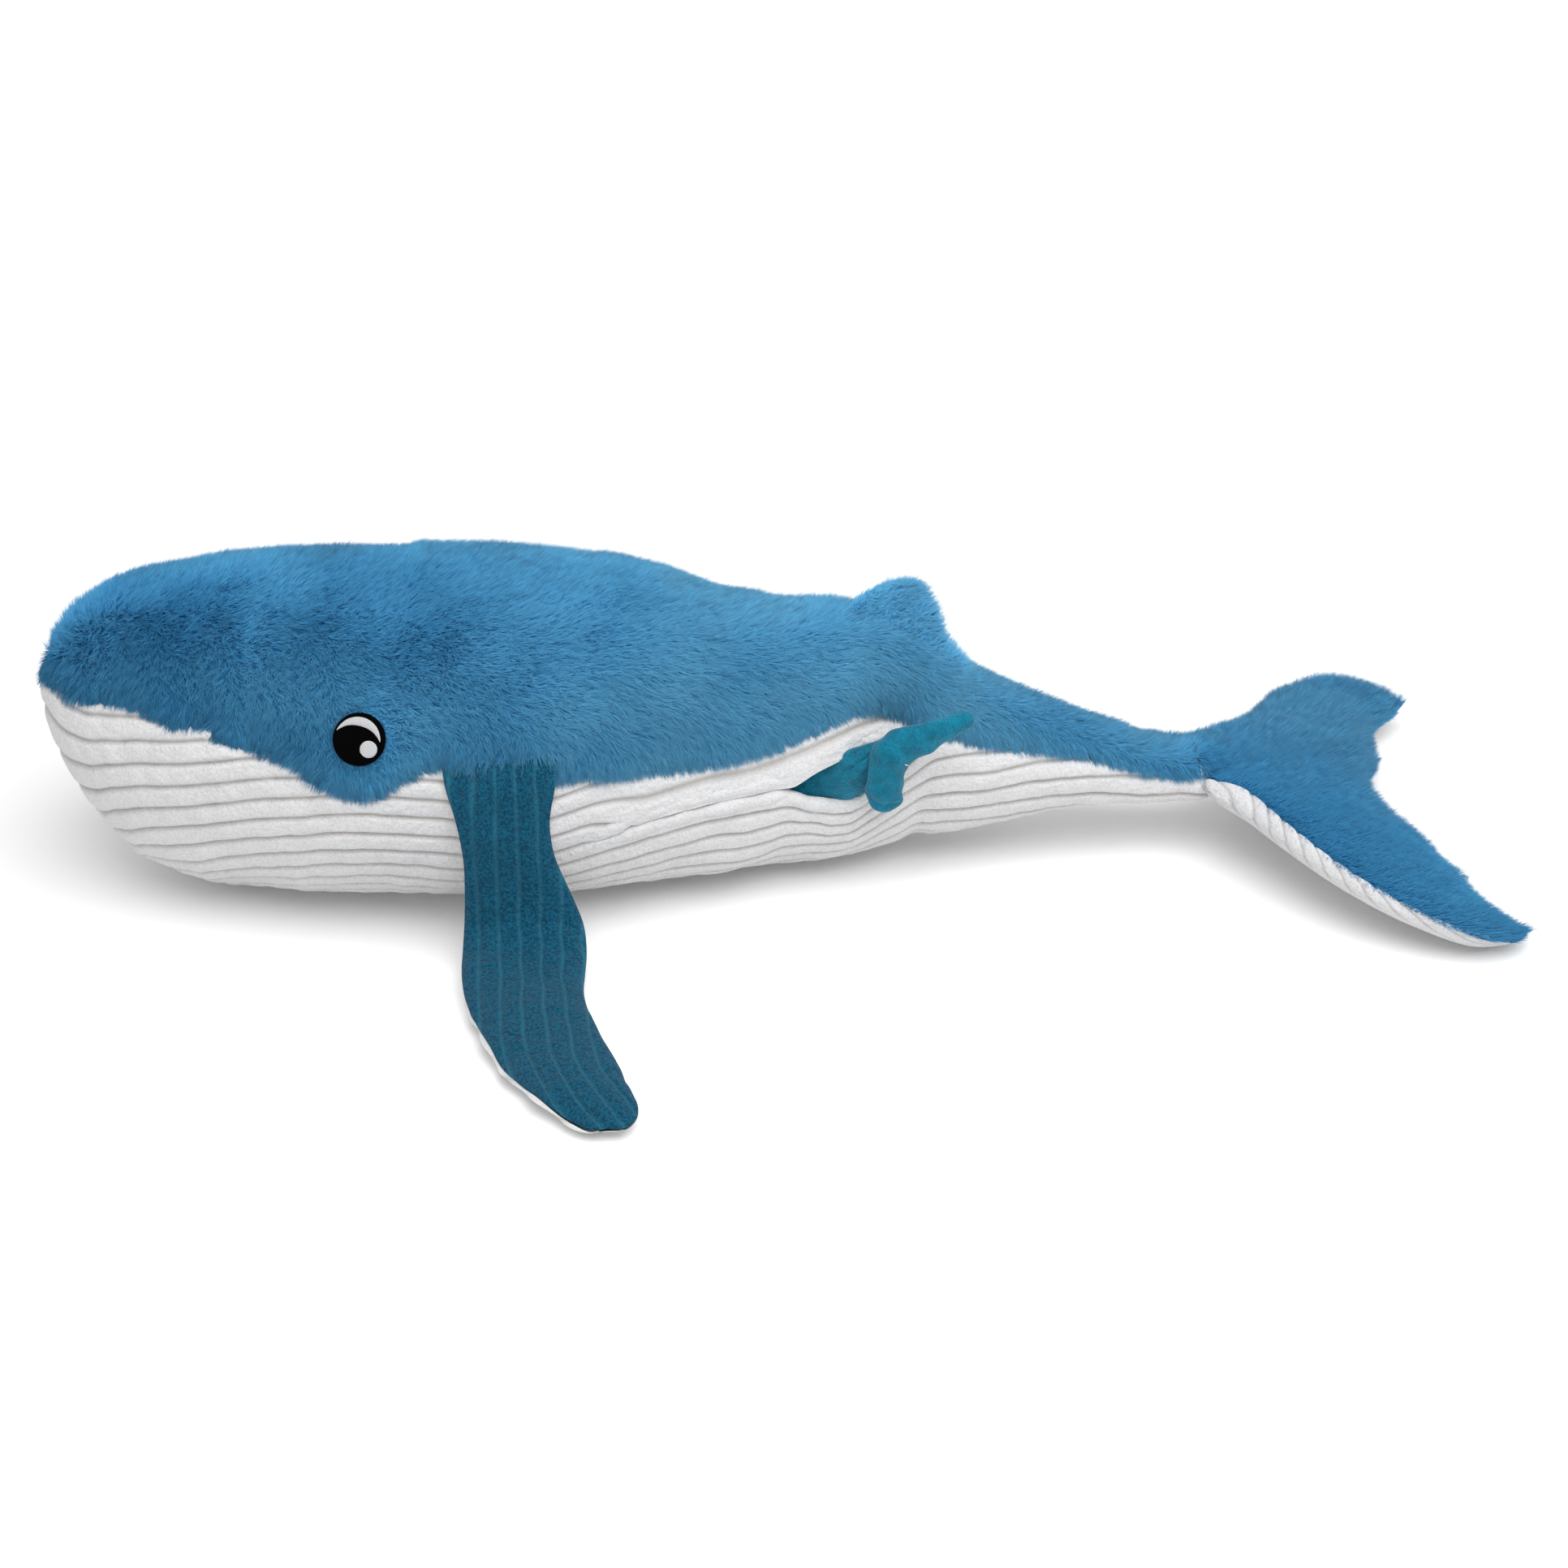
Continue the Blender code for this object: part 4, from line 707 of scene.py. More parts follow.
class FurSettings(bpy.types.PropertyGroup):
    """Long-pile fabric of the back, fin, tail and flukes."""

    length: bpy.props.FloatProperty(
        name="Hair length", description="Length of the pile", default=0.0108, unit="LENGTH")
    hair_width: bpy.props.FloatProperty(
        name="Hair radius", description="Radius of a hair at its root", default=0.00028, unit="LENGTH")
    density: bpy.props.FloatProperty(
        name="Hairs", description="Hairs for each square metre", default=1.55e6)
    lean: bpy.props.FloatProperty(
        name="Lean", description="How far the pile lies over", default=math.radians(56), subtype="ANGLE")
    tuft_size: bpy.props.FloatProperty(
        name="Tuft", description="Distance between tufts", default=0.0040, unit="LENGTH")
    gather: bpy.props.FloatProperty(
        name="Gather", description="How far hairs close into their tuft", default=0.35, subtype="FACTOR")
    quick_share: bpy.props.FloatProperty(
        name="Share", description="Share of the hairs that is made", default=1.0, subtype="FACTOR")
    # Root darker than tip: painted shade deep in the pile, which the backing takes too
    root: bpy.props.FloatVectorProperty(
        name="Root", description="Colour deep in the pile", default=(0.048, 0.290, 0.545), subtype="COLOR")
    tip: bpy.props.FloatVectorProperty(
        name="Tip", description="Colour of the hair tips", default=(0.165, 0.560, 0.885), subtype="COLOR")


class RibSettings(bpy.types.PropertyGroup):
    """Ribbed plush of the belly, flippers and undersides."""

    pitch: bpy.props.FloatProperty(
        name="Pitch", description="Distance between ribs", default=0.013, unit="LENGTH")
    depth: bpy.props.FloatProperty(
        name="Depth", description="Depth of the grooves", default=0.0027, unit="LENGTH")
    groove: bpy.props.FloatProperty(
        name="Groove", description="Half width of a groove", default=0.0013, unit="LENGTH")
    white: bpy.props.FloatVectorProperty(
        name="White", description="Belly plush", default=(0.745, 0.745, 0.755), subtype="COLOR")
    shade: bpy.props.FloatVectorProperty(
        name="Shade", description="White plush down in the grooves", default=(0.46, 0.44, 0.42),
        subtype="COLOR")
    teal: bpy.props.FloatVectorProperty(
        name="Teal", description="Flipper plush", default=(0.003, 0.092, 0.172), subtype="COLOR")
    teal_line: bpy.props.FloatVectorProperty(
        name="Teal line", description="Flipper plush in its grooves", default=(0.020, 0.150, 0.235),
        subtype="COLOR")


class SmallWhaleSettings(bpy.types.PropertyGroup):
    """Smooth plush of the small whale."""

    back: bpy.props.FloatVectorProperty(
        name="Back", description="Back of the small whale", default=(0.004, 0.215, 0.345), subtype="COLOR")
    belly: bpy.props.FloatVectorProperty(
        name="Belly", description="Belly of the small whale", default=(0.78, 0.78, 0.79), subtype="COLOR")
    # grey rather than white: painted shade inside the pouch
    lining: bpy.props.FloatVectorProperty(
        name="Lining", description="Cloth bag of the pouch", default=(0.55, 0.55, 0.56), subtype="COLOR")


class EyeSettings(bpy.types.PropertyGroup):
    """Embroidered eyes."""

    black: bpy.props.FloatVectorProperty(
        name="Black", description="Black thread", default=(0.0012, 0.0010, 0.0012), subtype="COLOR")
    white: bpy.props.FloatVectorProperty(
        name="White", description="White thread", default=(0.70, 0.71, 0.73), subtype="COLOR")


class StageSettings(bpy.types.PropertyGroup):
    """Camera, floor and light."""

    elevation: bpy.props.FloatProperty(
        name="Elevation", description="Camera above the floor", default=math.radians(27), subtype="ANGLE")
    azimuth: bpy.props.FloatProperty(
        name="Azimuth", description="Camera towards the head", default=math.radians(2.5), subtype="ANGLE")
    distance: bpy.props.FloatProperty(
        name="Distance", description="Camera from its target", default=1.8, unit="LENGTH")
    lens: bpy.props.FloatProperty(name="Lens", description="Focal length in millimetres", default=62.1)
    floor: bpy.props.FloatVectorProperty(
        name="Floor", description="Colour of the floor", default=(0.93, 0.93, 0.93), subtype="COLOR")
    world: bpy.props.FloatProperty(name="World", description="Strength of the even light", default=0.56)
    key: bpy.props.FloatProperty(
        name="Key", description="Power of the large soft lamp", default=68.0, unit="POWER")
    lift: bpy.props.FloatProperty(
        name="Lift", description="Whitening of the floor for the camera", default=0.10)


class PlushSettings(bpy.types.PropertyGroup):
    """All the settings of the toy."""

    fur: bpy.props.PointerProperty(type=FurSettings)
    rib: bpy.props.PointerProperty(type=RibSettings)
    small: bpy.props.PointerProperty(type=SmallWhaleSettings)
    eye: bpy.props.PointerProperty(type=EyeSettings)
    stage: bpy.props.PointerProperty(type=StageSettings)


class Nodes:
    """Short way to build a material's nodes."""

    def __init__(self, name):
        self.material = bpy.data.materials.get(name) or bpy.data.materials.new(name)
        self.material.use_nodes = True
        self.tree = self.material.node_tree
        self.shader = self.tree.nodes["Principled BSDF"]

    def add(self, kind, **values):
        """A node with its properties and inputs set; a value that is a socket is linked."""
        node = self.tree.nodes.new(kind)
        for key, value in values.items():
            if hasattr(node, key) and key not in node.inputs:
                setattr(node, key, value)
        for key, value in values.items():
            if key in node.inputs:
                self.feed(node.inputs[key], value)
        return node

    def feed(self, socket, value):
        """Link or set one socket; a colour of three numbers is opaque."""
        if isinstance(value, bpy.types.NodeSocket):
            self.tree.links.new(value, socket)
        else:
            socket.default_value = (*value[:3], 1.0) if socket.type == "RGBA" else value

    def ramp(self, fac, stops):
        """Colour ramp over places and colours."""
        node = self.add("ShaderNodeValToRGB", Fac=fac)
        band = node.color_ramp
        while len(band.elements) < len(stops):
            band.elements.new(0.5)
        for element, (place, colour) in zip(band.elements, stops):
            element.position = place
            element.color = (*colour, 1.0)
        return node.outputs["Color"]

    def noise(self, scale, detail=3.0):
        """Noise over object coordinates, scale in features for each metre."""
        coords = self.add("ShaderNodeTexCoord").outputs["Object"]
        return self.add("ShaderNodeTexNoise", Vector=coords, Scale=scale, Detail=detail).outputs["Fac"]

    def blend(self, fac, a, b, mode="MIX"):
        """Two colours mixed."""
        node = self.add("ShaderNodeMix", data_type="RGBA", blend_type=mode)
        for index, value in ((0, fac), (6, a), (7, b)):
            self.feed(node.inputs[index], value)
        return node.outputs[2]

    def math(self, operation, a, b=0.0):
        """One operation on numbers."""
        node = self.add("ShaderNodeMath", operation=operation)
        self.feed(node.inputs[0], a)
        self.feed(node.inputs[1], b)
        return node.outputs[0]

    def bump(self, height, distance, strength=1.0, normal=None):
        """Bump over a height."""
        node = self.add("ShaderNodeBump", Height=height, Distance=distance, Strength=strength)
        if normal is not None:
            self.feed(node.inputs["Normal"], normal)
        return node.outputs["Normal"]

    def finish(self, colour, roughness, sheen=0.0, sheen_tint=(1.0, 1.0, 1.0), normal=None, specular=0.3):
        """Feed the shader and give the material."""
        for name, value in (
            ("Base Color", colour), ("Roughness", roughness), ("Specular IOR Level", specular),
            ("Sheen Weight", sheen), ("Sheen Roughness", 0.5), ("Sheen Tint", sheen_tint),
        ):
            self.feed(self.shader.inputs[name], value)
        if normal is not None:
            self.feed(self.shader.inputs["Normal"], normal)
        return self.material


def mixed(a, b, share):
    """A colour between two colours."""
    return tuple(x + (y - x) * share for x, y in zip(a, b))


def fur_material(settings):
    """Hair colour from its map: dark root to light tip, painted shade deep in the pile, and a tint from hair
    to hair that also carries painted light and shade.
    """
    nodes = Nodes("blue_fur_hair")
    place = nodes.add("ShaderNodeUVMap", uv_map="OFBake").outputs[0]
    parts = nodes.add("ShaderNodeSeparateXYZ", Vector=place)
    root, tip = tuple(settings.root), tuple(settings.tip)
    # root darker than tip: painted shade deep in the pile
    length = nodes.ramp(parts.outputs[1], [(0.0, root), (0.45, mixed(root, tip, 0.55)), (1.0, tip)])
    # the tint holds random tone together with the painted light and shade of the back, the flukes and the
    # tops
    tint = nodes.ramp(parts.outputs[0], [
        (0.0, (0.28, 0.51, 0.62)), (0.5, (0.77, 0.87, 0.91)), (1.0, (1.20, 1.09, 1.03))])
    colour = nodes.blend(1.0, length, tint, "MULTIPLY")
    return nodes.finish(colour, 0.65, 0.08, (0.55, 0.78, 0.95), None, 0.15)


def backing_material(settings):
    """Knitted backing under the fur, rough, and dark with painted shade: the pile's root colour, darker still
    where its mottle bump is low.
    """
    nodes = Nodes("fur_backing")
    mottle = nodes.noise(420.0)
    # painted shade under the fur and in the hollows of the knit
    colour = nodes.ramp(mottle, [(0.3, mixed(settings.root, (0, 0, 0), 0.25)), (0.7, tuple(settings.root))])
    return nodes.finish(colour, 0.95, 0.0, (1, 1, 1), nodes.bump(mottle, 0.002))


def rib_material(name, crest, groove, fuzz, sheen, grain):
    """Ribbed plush: mottled crest colour, groove colour along the rib lines (on the white plush darker,
    painted shade in the grooves; on the teal paler), dark specks of painted shade where the fine bump is low,
    short fuzz as bump.
    """
    nodes = Nodes(name)
    place = nodes.add("ShaderNodeUVMap", uv_map="Ribs").outputs[0]
    count = nodes.add("ShaderNodeSeparateXYZ", Vector=place).outputs[0]
    off = nodes.math("ABSOLUTE", nodes.math("SUBTRACT", count, nodes.math("ROUND", count)))
    blotch = nodes.noise(38.0, 4.0)
    fibre = nodes.noise(620.0, 5.0)
    tone = nodes.blend(blotch, mixed(crest, groove, 0.16), crest)
    # dark specks where the fibre noise, and so the fine bump, is low: painted shade in the pile's hollows
    speck = nodes.ramp(fibre, [(0.42, (1, 1, 1)), (0.56, (0, 0, 0))])
    tone = nodes.blend(nodes.math("MULTIPLY", speck, grain), tone, mixed(crest, (0, 0, 0), 0.45))
    line = nodes.ramp(off, [(0.0, (1, 1, 1)), (0.16, (0, 0, 0))])
    # white plush: darker groove colour, painted shade down in the grooves; teal plush: paler lines
    colour = nodes.blend(nodes.math("MULTIPLY", line, 0.85), tone, groove)
    fine = nodes.bump(fibre, fuzz, 0.8)
    broad = nodes.bump(nodes.noise(230.0, 3.0), fuzz * 2.5, 0.7, fine)
    return nodes.finish(colour, 0.95, sheen, mixed(crest, (1, 1, 1), 0.6), broad, 0.15)


def smooth_plush_material(name, colour, sheen):
    """Short smooth plush: soft mottle of painted light and shade where the pile is brushed, dark specks of
    painted shade where the fine bump is low, fine bump.
    """
    nodes = Nodes(name)
    fibre = nodes.noise(760.0, 5.0)
    blotch = nodes.noise(95.0, 5.0)
    # painted light and shade of pile brushed different ways
    brushed = nodes.ramp(blotch, [(0.34, mixed(colour, (0, 0, 0), 0.42)), (0.66, colour)])
    # painted shade in the pile's hollows: darker where the fine bump is low
    speck = nodes.ramp(fibre, [(0.42, (1, 1, 1)), (0.58, (0, 0, 0))])
    tone = nodes.blend(nodes.math("MULTIPLY", speck, 0.40), brushed, mixed(colour, (0, 0, 0), 0.5))
    fine = nodes.bump(fibre, 0.0012, 0.9)
    broad = nodes.bump(nodes.noise(240.0, 3.0), 0.0018, 0.9, fine)
    return nodes.finish(tone, 0.9, sheen, mixed(colour, (1, 1, 1), 0.35), broad, 0.15)


def thread_material(name, colour):
    """Satin stitches side by side across an embroidered patch."""
    nodes = Nodes(name)
    coords = nodes.add("ShaderNodeTexCoord").outputs["Object"]
    turned = nodes.add("ShaderNodeMapping", Vector=coords, Rotation=(0.0, math.radians(20), 0.0))
    wave = nodes.add("ShaderNodeTexWave", Vector=turned.outputs[0], Scale=340.0, Distortion=1.5, Detail=2.0)
    height = wave.outputs["Fac"]
    # darker where the stitch surface is low: painted shade between the stitches
    tone = nodes.blend(height, mixed(colour, (0, 0, 0), 0.35), colour)
    return nodes.finish(tone, 0.9, normal=nodes.bump(height, 0.0004, 0.8), specular=0.03)


def threads(settings):
    """Black and white thread of the eyes."""
    return (thread_material("black_thread_stitch", tuple(settings.black)),
            thread_material("white_thread_stitch", tuple(settings.white)))


def cloth_material(name, colour):
    """Plain woven lining."""
    nodes = Nodes(name)
    weave = nodes.noise(1300.0, 2.0)
    # darker where the weave is low: painted shade in its hollows
    tone = nodes.blend(weave, mixed(colour, (0, 0, 0), 0.2), colour)
    return nodes.finish(tone, 0.9, 0.1, (1, 1, 1), nodes.bump(weave, 0.0003))


def settings_of(context):
    """The toy's settings on the scene."""
    return context.scene.plush_whale


def rib_height(count, settings, pitch=None):
    """Height over the groove bottoms of ribs numbered by count: flat rounded bands, narrow grooves."""
    pitch = settings.pitch if pitch is None else pitch
    off = np.abs(count - np.round(count)) * pitch
    band = off / (pitch / 2)
    groove = np.exp(-(off / settings.groove) ** 1.7)
    crown = 1 - 0.22 * (1 - band) ** 2
    return settings.depth * (crown - groove * crown)


def section_arc(along, samples=241):
    """For each section: angles from the keel up the left side, and the arc length from the keel."""
    angles = np.linspace(-math.pi / 2, math.pi / 2, samples)
    points = body_surface(along[:, None], angles[None, :], RIB_SINK)
    step = np.linalg.norm(np.diff(points, axis=1), axis=-1)
    arc = np.concatenate([np.zeros((len(along), 1)), np.cumsum(step, axis=1)], axis=1)
    return angles, arc, points[..., 2]


def rib_count(x, arc):
    """Number of the rib at an arc length over the keel: straight lines that slide with the body
    and wrap round the chin like rings about the keel's end."""
    shift = glide(RIB_SHIFT_ROWS, 1, x)
    ahead = glide(RIB_WRAP_ROWS, 1, x)
    aside = np.abs(arc - shift) ** RIB_WRAP_POWER
    return (aside + ahead ** RIB_WRAP_POWER) ** (1 / RIB_WRAP_POWER) - RIB_FIRST


def run_length(line):
    """Length from the start of a line of points to each of them."""
    return np.concatenate([[0], np.cumsum(np.linalg.norm(np.diff(line, axis=0), axis=-1))])


def even_rows(first, last, step):
    """Places along the body with even spacing over its surface, close together round the nose."""
    fine = np.linspace(first, last, 4001)
    keel, side = (run_length(body_surface(fine, math.radians(a), RIB_SINK)) for a in (-90, 0))
    length = (keel + side) / 2
    count = int(length[-1] / step) + 2
    return np.interp(np.linspace(0, length[-1], count), length, fine)


# Mouth of the pouch: middle line of the slit, and how far the upper and lower edges stand off it
SLIT_ROWS = np.array([
    (-112, 74), (-107, 75), (-89, 79), (-73, 82), (-59, 83.5), (-43, 85), (-12, 85.5), (4, 86), (16, 84),
    (30, 85), (50, 86), (66, 90), (86, 95), (96, 96),
]) * MM
UPPER_EDGE_ROWS = np.array([
    (-108, 0.0), (-100, 0.3), (-20, 0.5), (3, 0.7), (10, 1.3), (25, 8.0), (39, 12.5), (56, 17.0),
    (70, 16.0), (79, 8.0), (85, 0.0),
]) * MM
LOWER_EDGE_ROWS = np.array([
    (-108, 0.0), (-100, 0.3), (-20, 0.5), (3, 0.7), (10, 1.3), (25, 9.0), (39, 15.0), (50, 16.0),
    (60, 13.0), (72, 8.0), (80, 4.0), (85, 0.0),
]) * MM


def slit_heights(x):
    """Heights of the upper and the lower edge of the pouch's mouth at places along the body."""
    middle = glide(SLIT_ROWS, 1, x)
    return middle + glide(UPPER_EDGE_ROWS, 1, x), middle - glide(LOWER_EDGE_ROWS, 1, x)


def pouch_folds(x, arc, upper, lower):
    """Change of the rib count near the mouth of the pouch, so that ribs run along its two edges.

    Each edge is made a line of one count, and the change fades away from it and beyond the mouth's ends.
    """
    ends = rising(x, -0.125, 0.05) * falling(x, 0.108, 0.035)
    ends = ends * ends * (3 - 2 * ends)
    change = np.zeros_like(arc)
    for edge, side, count, reach in (
        (upper, 1, POUCH_UPPER_COUNT, 0.022),
        (lower, -1, POUCH_LOWER_COUNT, 0.032),
    ):
        beyond = side * (arc - edge[:, None])
        own = rib_count(x[:, :1], edge[:, None])
        near = np.exp(-(np.clip(beyond, 0, None) / reach) ** 1.5) * (beyond >= -1e-9)
        change = change + (count - own) * near
    return change * ends


def belly_points(along, arc, right, settings, top, pouch):
    """Points of the ribbed belly at arc lengths over the keel, with their ribs, and the rib count."""
    angles, table, _ = section_arc(along)
    angle = np.stack([np.interp(row, steps, angles) for row, steps in zip(arc, table)])
    x = place_x(along)[:, None] * np.ones_like(arc)
    count = rib_count(x, arc)
    if pouch is not None:
        count = count + pouch_folds(x, arc, *pouch)
    count = count / settings.pitch
    from_seam = np.clip(top[:, None] - SEAM_TUCK - arc, 0, None)
    height = rib_height(count, settings) * (1 - 0.8 * hump(from_seam, 0, 0.006))
    flat = np.clip(1 - (angle + math.pi / 2) / 0.9, 0, 1)
    dip = 0.0046 * hump(from_seam, 0, 0.0065)
    shut = rising(along[:, None], 1 - TAIL_END_SHARE, TAIL_END_SHARE)
    dip = dip + TAIL_END_DIP * (1 - rounded(shut))
    depth = RIB_SINK + RIB_FLOOR - height * (1 - 0.6 * flat) + dip
    if pouch is not None:
        sag = 0.0035 * hump(x, 0.043, 0.024) - 0.0030 * hump(x, 0.096, 0.010)
        depth = depth - sag * hump(arc, 0.055, 0.045)
    points = body_surface(along[:, None], angle, depth)
    if right:
        points[..., 1] *= -1
    away = unit(points * [0, 1, 1] - [0, 0, 0.08])
    lumps = 0.0011 * wander(points, 0.05, 41) + 0.0005 * wander(points, 0.016, 42)
    fuzz = 0.00016 * wander(points, 0.0042, 43, 24)
    points += (lumps + fuzz)[..., None] * away
    points[..., 2] = np.maximum(points[..., 2], RIB_FLOOR)
    return points, count


def belly_piece(name, first, last, settings, material, pouch):
    """Ribbed belly between two places: left upper part, left lower part and right part in one piece."""
    along = even_rows(first, last, 0.0020)
    angles, table, heights = section_arc(along)
    top = np.array([np.interp(a, angles, steps) for a, steps in zip(seam_angle(along), table)])
    top = top + np.minimum(SEAM_TUCK, top * 0.2)
    upper, lower = (np.array([np.interp(z, zs, steps) for z, zs, steps in zip(edge, heights, table)])
                    for edge in slit_heights(place_x(along)))
    if not pouch:
        upper = lower = top * 0.7
    upper = np.minimum(upper, top * 0.98)
    lower = np.minimum(lower, upper)
    fine = 0.0009
    grids = []
    for start, end in ((top, upper), (lower, np.zeros_like(top))):
        share = np.linspace(0, 1, int(np.abs(start - end).max() / fine) + 2)[None, :]
        arc = start[:, None] + (end - start)[:, None] * share
        grids.append(belly_points(along, arc, False, settings, top, (upper, lower) if pouch else None))
    share = np.linspace(0, 1, int(top.max() / fine) + 2)[None, :]
    grids.append(belly_points(along, top[:, None] * share, True, settings, top, None))
    return joined_grids(name, grids, body_middle(along)[0], material)


def joined_grids(name, grids, middle, material):
    """One welded sheet from grids of points and rib counts; its map holds them side by side."""
    all_points, all_faces, all_counts, all_maps, outward = [], [], [], [], []
    first_point = 0
    start_u = 0.0
    total = sum(points.shape[1] for points, _ in grids)
    for points, count in grids:
        rows, columns = points.shape[:2]
        all_faces.append(grid_quads(rows, columns) + first_point)
        all_points.append(points.reshape(-1, 3))
        all_counts.append(count.ravel())
        share_u = columns / total
        grid_map = even_map(rows, columns)
        grid_map[:, 0] = start_u + grid_map[:, 0] * share_u * 0.996
        all_maps.append(grid_map)
        outward.append((points * [0, 1, 1] - np.array([0, 0, 1]) * middle[:, None, None]).reshape(-1, 3))
        start_u += share_u
        first_point += rows * columns
    count = np.concatenate(all_counts)
    made = new_piece(name, np.concatenate(all_points), np.concatenate(all_faces), material,
                     np.concatenate(outward), np.concatenate(all_maps))
    add_layer(made, "Ribs", np.stack([count, np.zeros_like(count)], axis=-1))
    weld(made)
    return made


def weld(made, distance=2e-6):
    """Join points that lie on each other, so sheets that meet are one."""
    cage = bmesh.new()
    cage.from_mesh(made.data)
    bmesh.ops.remove_doubles(cage, verts=cage.verts, dist=distance)
    cage.to_mesh(made.data)
    cage.free()
    made.data.shade_smooth()


def back_patch(first, last, overhang):
    """Surface of the fur between the seams, from place first to place last along the body."""
    def surface(u, v, depth):
        along = np.clip(first + (last - first) * u, 1e-4, 1.0)
        wide = np.maximum(body_half_width(along), 0.02)
        start = seam_angle(along) - overhang / wide
        return body_surface(along, start + (math.pi - 2 * start) * v, depth)

    def outward(points):
        along = np.clip(share_at(points[:, 0]), 0, 1)
        middle = body_middle(along)[0]
        centre = np.stack([np.maximum(points[:, 0], NOSE_X + 0.12), np.zeros(len(points)), middle], axis=-1)
        return points - centre
    return Patch(surface, outward, 160, 120, 2.4)


def comb_back(points, u, v, along, across, edge):
    """Back fur lies towards the tail and down the sides, and hangs over the seams."""
    fall = np.cos(math.pi * v)
    sideways = 0.85 * fall + 0.9 * edge * np.sign(fall)
    return unit(along * (0.85 - 0.50 * edge)[:, None] - across * sideways[:, None])


def make_back_skin(name, first, last, material):
    """Backing of the fur from seam to seam as a closed shell of two depths, tucked lower at the nose."""
    along = first + (last - first) * np.linspace(0, 1, 70) ** 1.3
    share = np.linspace(0, 1, 61)[None, :]
    seam = (seam_angle(along) - NOSE_TUCK * hump(along, 0, NOSE_TUCK_SHARE))[:, None]
    angle = seam + (math.pi - 2 * seam) * share
    wide = np.maximum(body_half_width(along), 0.02)[:, None]
    to_edge = wide * (math.pi - 2 * seam) * np.minimum(share, 1 - share)
    depth = FUR_DEPTH + 0.0006 - HEM_RISE * hump(to_edge, 0, HEM_REACH)
    outer = body_surface(along[:, None], angle, depth)
    inner = body_surface(along[:, None], angle, depth + BACKING_THICKNESS)
    return closed_leaf(name, outer, inner, material)


class PLUSH_OT_back(bpy.types.Operator):
    """Furred head and back."""

    bl_idname = "plush.back"
    bl_label = "Back fur"

    def execute(self, context):
        settings = settings_of(context).fur
        skin = make_back_skin("back_skin", 0.0, TAIL_SPLIT_SHARE + 0.01, backing_material(settings))
        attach(skin, "whale")
        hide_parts("back_fur", "body_filling")
        patch = back_patch(0.0, TAIL_SPLIT_SHARE, 0.0005)
        centres = [axes[0] for axes in eye_frames()]

        def from_eyes(points):
            return np.min([np.linalg.norm(points - centre, axis=-1) for centre in centres], axis=0)

        def keep(u, v):
            return from_eyes(patch.surface(u, v, 0.0)) > EYE_RADIUS - 0.0002

        def shorten(points):
            return np.clip((from_eyes(points) - EYE_RADIUS) / 0.012, 0.35, 1.0)

        for made in grow_fur("back_hair", patch, settings, comb_back, 101, fur_material(settings),
                             keep=keep, parts=7, hem=HEM_RISE, shorten=shorten):
            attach(made, "whale")
        return {"FINISHED"}


class PLUSH_OT_belly(bpy.types.Operator):
    """Ribbed chest and belly with the mouth of the pouch."""

    bl_idname = "plush.belly"
    bl_label = "Ribbed belly"

    def execute(self, context):
        settings = settings_of(context).rib
        material = white_rib(settings)
        chest = belly_piece("chest_rib", 0.0006, CHEST_SPLIT_SHARE, settings, material, False)
        belly = belly_piece("belly_rib_sheet", CHEST_SPLIT_SHARE, TAIL_SPLIT_SHARE, settings, material, True)
        for made in (chest, belly):
            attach(made, "whale")
        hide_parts("belly_rib")
        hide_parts("belly_rib")
        return {"FINISHED"}


def white_rib(settings):
    """White ribbed plush."""
    return rib_material("white_rib_plush", tuple(settings.white), tuple(settings.shade), 0.0008, 0.15, 0.22)


def teal_rib(settings):
    """Teal ribbed plush."""
    return rib_material("teal_rib_plush", tuple(settings.teal), tuple(settings.teal_line), 0.0020, 0.10, 1.0)


def lip_points(side):
    """Rolled edge of the pouch's mouth: rings round the edge line, flattened against the body."""
    x = np.linspace(LIP_FIRST_X, LIP_LAST_X, 160)
    along = share_at(x)
    high, low = slit_heights(x)
    height = high if side > 0 else low
    angles, _, heights = section_arc(along)
    angle = np.array([np.interp(z, zs, angles) for z, zs in zip(height, heights)])
    edge = body_surface(along, angle, RIB_SINK + 0.0012)
    step = 0.02
    up = unit(body_surface(along, angle + step, RIB_SINK) - body_surface(along, angle - step, RIB_SINK))
    ahead = unit(np.gradient(edge, axis=0))
    out = unit(np.cross(ahead, up))
    out *= np.where(out[:, 1:2] > 0, -1.0, 1.0)
    up = unit(np.cross(out, ahead))
    up *= np.where(up[:, 2:3] < 0, -1.0, 1.0)
    ends = np.clip(np.minimum(x - LIP_FIRST_X, LIP_LAST_X - x) / LIP_END_REACH, 0, 1)
    fade = rounded(1 - ends)
    radius_up = (0.0046 if side > 0 else 0.0052) * (0.35 + 0.65 * fade)
    radius_out = (0.0036 if side > 0 else 0.0044) * (0.25 + 0.75 * fade)
    centre = edge + up * (side * radius_up * 0.95)[:, None]
    turns = np.linspace(0, 2 * math.pi, 28, endpoint=False)
    rings = centre[:, None] + up[:, None] * (radius_up[:, None] * np.cos(turns))[..., None]
    return rings + out[:, None] * (radius_out[:, None] * np.sin(turns))[..., None]


